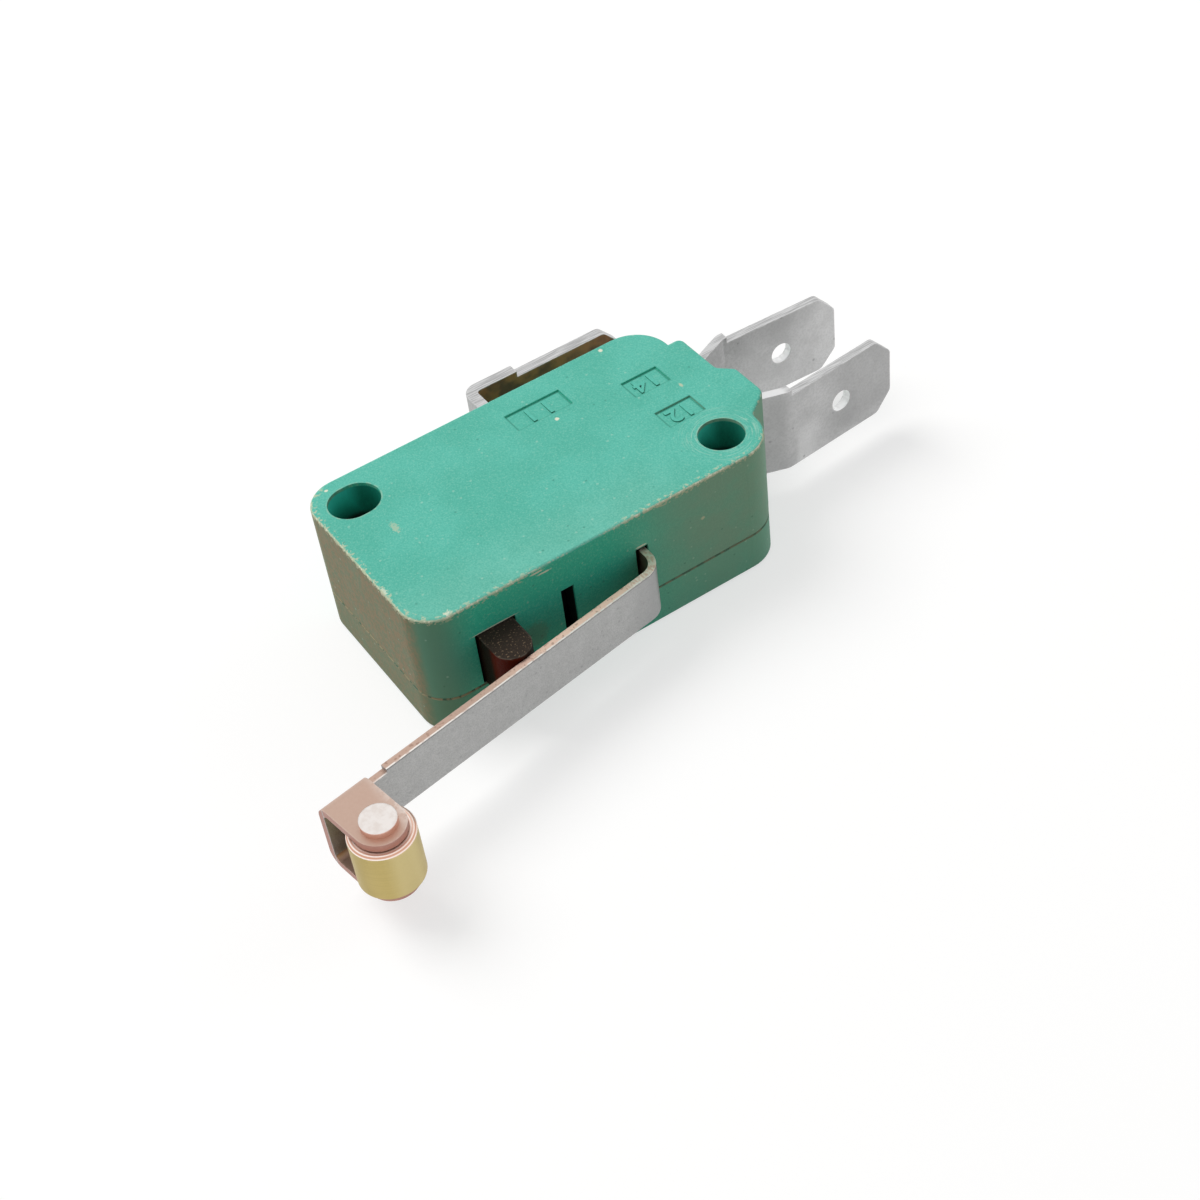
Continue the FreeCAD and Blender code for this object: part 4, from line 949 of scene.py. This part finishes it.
# %% Plated faces
PLATING, PLATING_DARK = grey(200), grey(186)
PLATING_SPECKLE = grey(170)
DULL_END, ROOT_PAINTED_SHADE, DULL_BAND = grey(150), grey(152), grey(142)
BEND_HIGHLIGHT, WORK_SHINE = grey(226), grey(222)
PLATING_SPOT = grey(110)


def plated_faces(tree, fine, on_rest):
    """The plating's clouds and speckle, and the duller and brighter parts of the contact tabs, with painted
    shade at their roots and a painted highlight on the rest contact's bend.
    """
    clouds = use(tree, grain, Size=1.8)["Value"]
    paint = mix(tree, ramp(tree, clouds, 0.35, 0.65), PLATING, PLATING_DARK)
    paint = mix(tree, ramp(tree, fine, 0.4, 0.65, 0.0, 0.35), paint, PLATING_SPECKLE)
    outer_end = scaled(tree, beyond(tree, X, 9.5, 12.5), 0.35, 0.22)
    outer_end = times(tree, outer_end, beyond(tree, Z, 1.5, 3.5))
    paint = mix(tree, times(tree, on_rest, outer_end), paint, DULL_END)
    # Painted shade on the tabs near the housing.
    root = times(tree, beyond(tree, X, 7.6, 6.2), scaled(tree, on_rest, 0.3, 0.12))
    paint = mix(tree, root, paint, ROOT_PAINTED_SHADE)
    paint = layer(tree, paint, DULL_BAND, 0.15, beyond(tree, Z, 6.9, 7.6), beyond(tree, Y, 7.0, 8.0))
    # Painted highlight on the rest contact's bend.
    bend = times(tree, beyond(tree, X, 7.3, 7.9), beyond(tree, X, 10.2, 8.6), beyond(tree, Z, 6.0, 3.0))
    paint = layer(tree, paint, BEND_HIGHLIGHT, 0.4, bend, on_rest)
    on_work = times(tree, beyond(tree, Y, 7.0, 8.0), beyond(tree, Y, 12.5, 12.0))
    paint = layer(tree, paint, WORK_SHINE, 0.25, on_work, beyond(tree, X, 7.8, 9.2))
    spots = use(tree, flecks, Spacing=0.9, Size=0.14, Share=0.35)["Mask"]
    return layer(tree, paint, PLATING_SPOT, 0.4, spots)


print("plated faces ready")

# %% [markdown]
# The sheared upper edges are lighter than the faces, with fine lines along them. The side of the common
# terminal that faces the housing is painted brown, nearly black, with ochre patches: painted shade with
# reflected ochre. That paint isn't metallic, so there the shader's metallic value falls too. The catch
# holes' walls are painted bright, because the light from the floor would fill them, and they are made rough.

# %% Sheared edges, painted shade behind the common terminal, and holes
SHEARED_DARK, SHEARED_LIGHT, SHEARED_ROOT = grey(176), grey(214), grey(232)
BEHIND_SHADE_BROWN, BEHIND_REFLECTION_OCHRE = colour(128, 68, 33), colour(202, 116, 62)
BORE_LIGHT, BORE_ROUGHNESS = grey(252), 0.95
BEHIND_PAINT_SHARE = 0.95
TAB_HOLES = ((11.78, 9.6, 5.15), (11.72, 2.9, 5.15))
TAB_HOLE_REACH = (1.8, 2.4, 1.8)


def sheared_edges(tree, paint, on_rest):
    """The paint with the light, striped edges of the sheet where they look up."""
    drawn = use(tree, stripes, Spread=(0.5, 13.0, 0.5))["Value"]
    sheared = mix(tree, ramp(tree, drawn, 0.38, 0.6), SHEARED_DARK, SHEARED_LIGHT)
    sheared = mix(tree, times(tree, beyond(tree, X, 7.2, 6.6), on_rest), sheared, SHEARED_ROOT)
    return mix(tree, facing(tree, Z, 0.4, 0.8), paint, sheared)


def painted_shade_behind(tree, shader, paint, behind):
    """The paint with painted shade, brown with ochre reflection, where the mask is 1. The shader loses its
    metal there.
    """
    # Painted shade and reflection: brown and ochre patches, not metal.
    behind_tones = ramp(tree, use(tree, grain, Size=1.6)["Value"], 0.35, 0.65)
    tree.links.new(scaled(tree, behind, -BEHIND_PAINT_SHARE, 1.0), shader.inputs["Metallic"])
    return layer(tree, paint, mix(tree, behind_tones, BEHIND_SHADE_BROWN, BEHIND_REFLECTION_OCHRE), BEHIND_PAINT_SHARE, behind)


def bright_bores(tree, paint, roughness):
    """The paint and the roughness with the walls of the catch holes painted bright and made rough."""
    across = times(tree, facing(tree, Y, -0.8, -0.5), facing(tree, Y, 0.8, 0.5))
    for centre in TAB_HOLES:
        near = use(tree, mark, Centre=centre, Reach=TAB_HOLE_REACH, Ragged=0.0)["Mask"]
        bore = times(tree, near, across)
        # Painted light: the holes' walls are painted bright.
        paint = mix(tree, bore, paint, BORE_LIGHT)
        roughness = larger(tree, roughness, times(tree, bore, BORE_ROUGHNESS))
    return paint, roughness


print("edges, stain and holes ready")

# %% [markdown]
# The plating's layers come together here, and wear on every edge comes last. The rest contact's tab is the
# one nearer the front. Several layers need to know it, so its mask is made once and handed to them.

# %% Terminal plating
EDGE_LIGHT = grey(230)


def terminal_plating():
    """The plated sheet of the three terminals."""
    material, tree, shader = new_material("terminal_plating", metallic=1.0)
    fine = use(tree, grain, Size=0.16)["Value"]
    on_rest = beyond(tree, Y, 5.5, 4.5)
    paint = plated_faces(tree, fine, on_rest)
    paint = sheared_edges(tree, paint, on_rest)
    # Painted shade on the common terminal's side that faces the housing.
    behind = times(tree, beyond(tree, Y, 12.9, 13.1), facing(tree, Y, -0.3, -0.7))
    paint = painted_shade_behind(tree, shader, paint, behind)
    paint, roughness = bright_bores(tree, paint, scaled(tree, fine, 0.3, 0.32))
    worn = use(tree, worn_edges, Width=0.22, Patch_Size=0.7, Strength=4.0)["Mask"]
    paint = layer(tree, paint, EDGE_LIGHT, 0.5, worn)
    finish_material(tree, shader, paint, roughness, fine, 0.08, 0.008)
    return material


plating = terminal_plating()
print("made", plating.name)

# %% [markdown]
# ### Inside
#
# The blade is copper alloy, the toggle and the spring are steel, and the contacts are silver. They show
# only when the housing is taken apart, but they are finished like the rest. All four are drawn metal with
# fine lines between two tones, so one function makes them from a table.

# %% Inner metals
def inner_metal(name, dark, light, roughness_low):
    """A drawn metal with fine lines, between two tones."""
    material, tree, shader = new_material(name, metallic=1.0)
    fine = use(tree, grain, Size=0.15)["Value"]
    drawn = use(tree, stripes, Spread=(0.3, 3.0, 6.0))["Value"]
    paint = mix(tree, ramp(tree, drawn, 0.3, 0.7), dark, light)
    worn = use(tree, worn_edges, Width=0.08, Patch_Size=0.6, Strength=5.0)["Mask"]
    paint = layer(tree, paint, BRIGHT, 0.5, worn)
    finish_material(tree, shader, paint, scaled(tree, fine, 0.25, roughness_low), fine, 0.05, 0.01)
    return material


INNER_METALS = {
    "blade_copper": (colour(184, 118, 78), colour(206, 146, 104), 0.25),
    "toggle_steel": (colour(146, 146, 148), colour(176, 176, 178), 0.28),
    "spring_steel": (colour(120, 120, 124), colour(160, 160, 164), 0.22),
    "contact_silver": (colour(196, 194, 188), colour(222, 220, 214), 0.2),
}
copper, stamped, wire, silver = [inner_metal(name, *tones) for name, tones in INNER_METALS.items()]
print("made", [metal.name for metal in (copper, stamped, wire, silver)])

# %% [markdown]
# ### Which piece is of what
#
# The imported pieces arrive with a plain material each. Their meshes stay as they are, and each material
# slot is emptied and given the finish made for it.

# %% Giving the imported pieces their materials
FINISHES = {
    "case": plastic, "cover": plastic, "plunger": button, "lever": steel, "roller": brass, "roller_pin": axle,
    "com_terminal": plating, "no_terminal": plating, "nc_terminal": plating, "no_contact": silver,
    "nc_contact": silver, "moving_contact": silver, "moving_blade": copper, "toggle_arm": stamped,
    "tension_spring": wire,
}
for name, material in FINISHES.items():
    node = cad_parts[name]
    node.data.materials.clear()
    node.data.materials.append(material)
print("finished", len(FINISHES), "pieces")

# %% [markdown]
# ## The numbers in the recessed fields
#
# Each field on the case holds raised characters that nearly fill it. Plain terminal numbers stand there:
# 11 for the common terminal, 14 for the working contact and 12 for the rest contact. They could be cut
# into the case, but a text object with a little depth gives clean outlines and stays easy to change. Its
# size is set so that a capital, which is about 0.7 of a font's size, gets the wanted height.

# %% Raised numbers
FIELD_DEPTH, NUMBER_HEIGHT, NUMBER_DEPTH = 0.12, 1.3, 0.07
STROKE, ROUNDING = 0.03, 0.02
CAP_SHARE = 0.7
NUMBERS = {"com_number": ("11", COM_FIELD, 1.5), "no_number": ("14", NO_FIELD, 1.1),
           "nc_number": ("12", NC_FIELD, 1.1)}


def raised_number(name, text, field, spacing):
    """A number that reads from the back of the switch, sunk in the floor of its field."""
    letter = bpy.data.curves.new(name, "FONT")
    letter.body = text
    letter.align_x, letter.align_y = "CENTER", "CENTER"
    letter.size = NUMBER_HEIGHT * MM / CAP_SHARE
    letter.space_character = spacing
    letter.offset = STROKE * MM
    letter.extrude = NUMBER_DEPTH * MM
    letter.bevel_depth = ROUNDING * MM
    letter.bevel_resolution = 1
    letter.materials.append(number_teal)
    piece = bpy.data.objects.new(name, letter)
    piece.location = Vector((*field, TOP - FIELD_DEPTH)) * MM
    piece.rotation_euler = (0, 0, math.pi)
    bpy.context.scene.collection.objects.link(piece)
    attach(piece, "housing")
    return piece


for name, (text, field, spacing) in NUMBERS.items():
    print("made", raised_number(name, text, field, spacing).name)

# %% [markdown]
# ## Floor and light
#
# The photograph is cut out on white. A pale floor and a white world give that background, and the floor
# keeps the switch's soft shadow: to the camera it adds some plain white to its own light. The light that
# it sends back on the switch has a slightly warm tone. A large lamp above and behind lights the case's top
# fully, while the front gets only what the room and the floor send back, so it stays as dark as in the
# photograph. A small lamp on the right lifts the tabs.

# %% Floor
FLOOR_SIZE, FLOOR_GAP = 3.0, 0.02
FLOOR_DARK, FLOOR_LIGHT = grey(168), grey(170)
FLOOR_WARM = colour(176, 160, 140)
WHITE = grey(255)
PLAIN_WHITE_SHARE = 0.62


def seen_directly(tree):
    """1 for what the camera, a mirror or glass shows, and 0 for the light that a surface sends on."""
    path = add(tree, "LightPath").outputs
    shown = larger(tree, path["Is Camera Ray"], path["Is Glossy Ray"])
    return larger(tree, shown, path["Is Transmission Ray"])


bpy.ops.mesh.primitive_plane_add(size=FLOOR_SIZE, location=(0, 0, cad_box[0].z - FLOOR_GAP * MM))
floor = bpy.context.object
floor.name = "floor"
pale, tree, shader = new_material("pale_floor")
shown = mix(tree, use(tree, grain, Size=40.0)["Value"], FLOOR_DARK, FLOOR_LIGHT)
tree.links.new(mix(tree, seen_directly(tree), FLOOR_WARM, shown), shader.inputs["Base Color"])
shader.inputs["Roughness"].default_value = 0.9
shader.inputs["Emission Color"].default_value = WHITE
tree.links.new(times(tree, seen_directly(tree), PLAIN_WHITE_SHARE), shader.inputs["Emission Strength"])
floor.data.materials.append(pale)
print("floor of", FLOOR_SIZE, "m")

# %% [markdown]
# The world lights the switch evenly from all sides, like a white room. The camera and the bare metal see
# it at full white, but it sends less than that on the switch, so that the lamps still shape it.

# %% World
ROOM_LIGHT = 0.36
world = bpy.data.worlds.new("studio")
bpy.context.scene.world = world
world.use_nodes = True
tree = world.node_tree
tree.nodes.clear()
strength = add(tree, "MapRange", {"Value": seen_directly(tree), "To Min": ROOM_LIGHT, "To Max": 1.0})
background = add(tree, "Background", {"Color": WHITE, "Strength": strength.outputs[0]})
output = tree.nodes.new("ShaderNodeOutputWorld")
tree.links.new(background.outputs[0], output.inputs["Surface"])
print("room light", ROOM_LIGHT)

# %% [markdown]
# Two square lamps do the rest. Their size makes their shadows soft. In bare metal they would show as hard
# white squares, so they are left out of its reflections.

# %% Lamps
LAMP_TINT = (1.0, 0.99, 0.97)
LAMP_AIM = Vector((-0.01, 0.0, 0.0))
LAMPS = {"key_lamp": (Vector((-0.24, 0.4, 0.68)), 0.52, 5.2),
         "side_lamp": (Vector((0.6, -0.1, 0.32)), 0.4, 0.48)}


def lamp(name, place, size, watts):
    """A square soft lamp that looks at the switch and isn't mirrored in its metal."""
    light = bpy.data.lights.new(name, "AREA")
    light.size = size
    light.energy = watts
    light.color = LAMP_TINT
    lit = bpy.data.objects.new(name, light)
    lit.location = place
    lit.rotation_mode = "QUATERNION"
    lit.rotation_quaternion = (LAMP_AIM - lit.location).to_track_quat("-Z", "Y")
    lit.visible_glossy = False
    bpy.context.scene.collection.objects.link(lit)
    return lit


for name, (place, size, watts) in LAMPS.items():
    print(lamp(name, place, size, watts).name, "of", watts, "W")
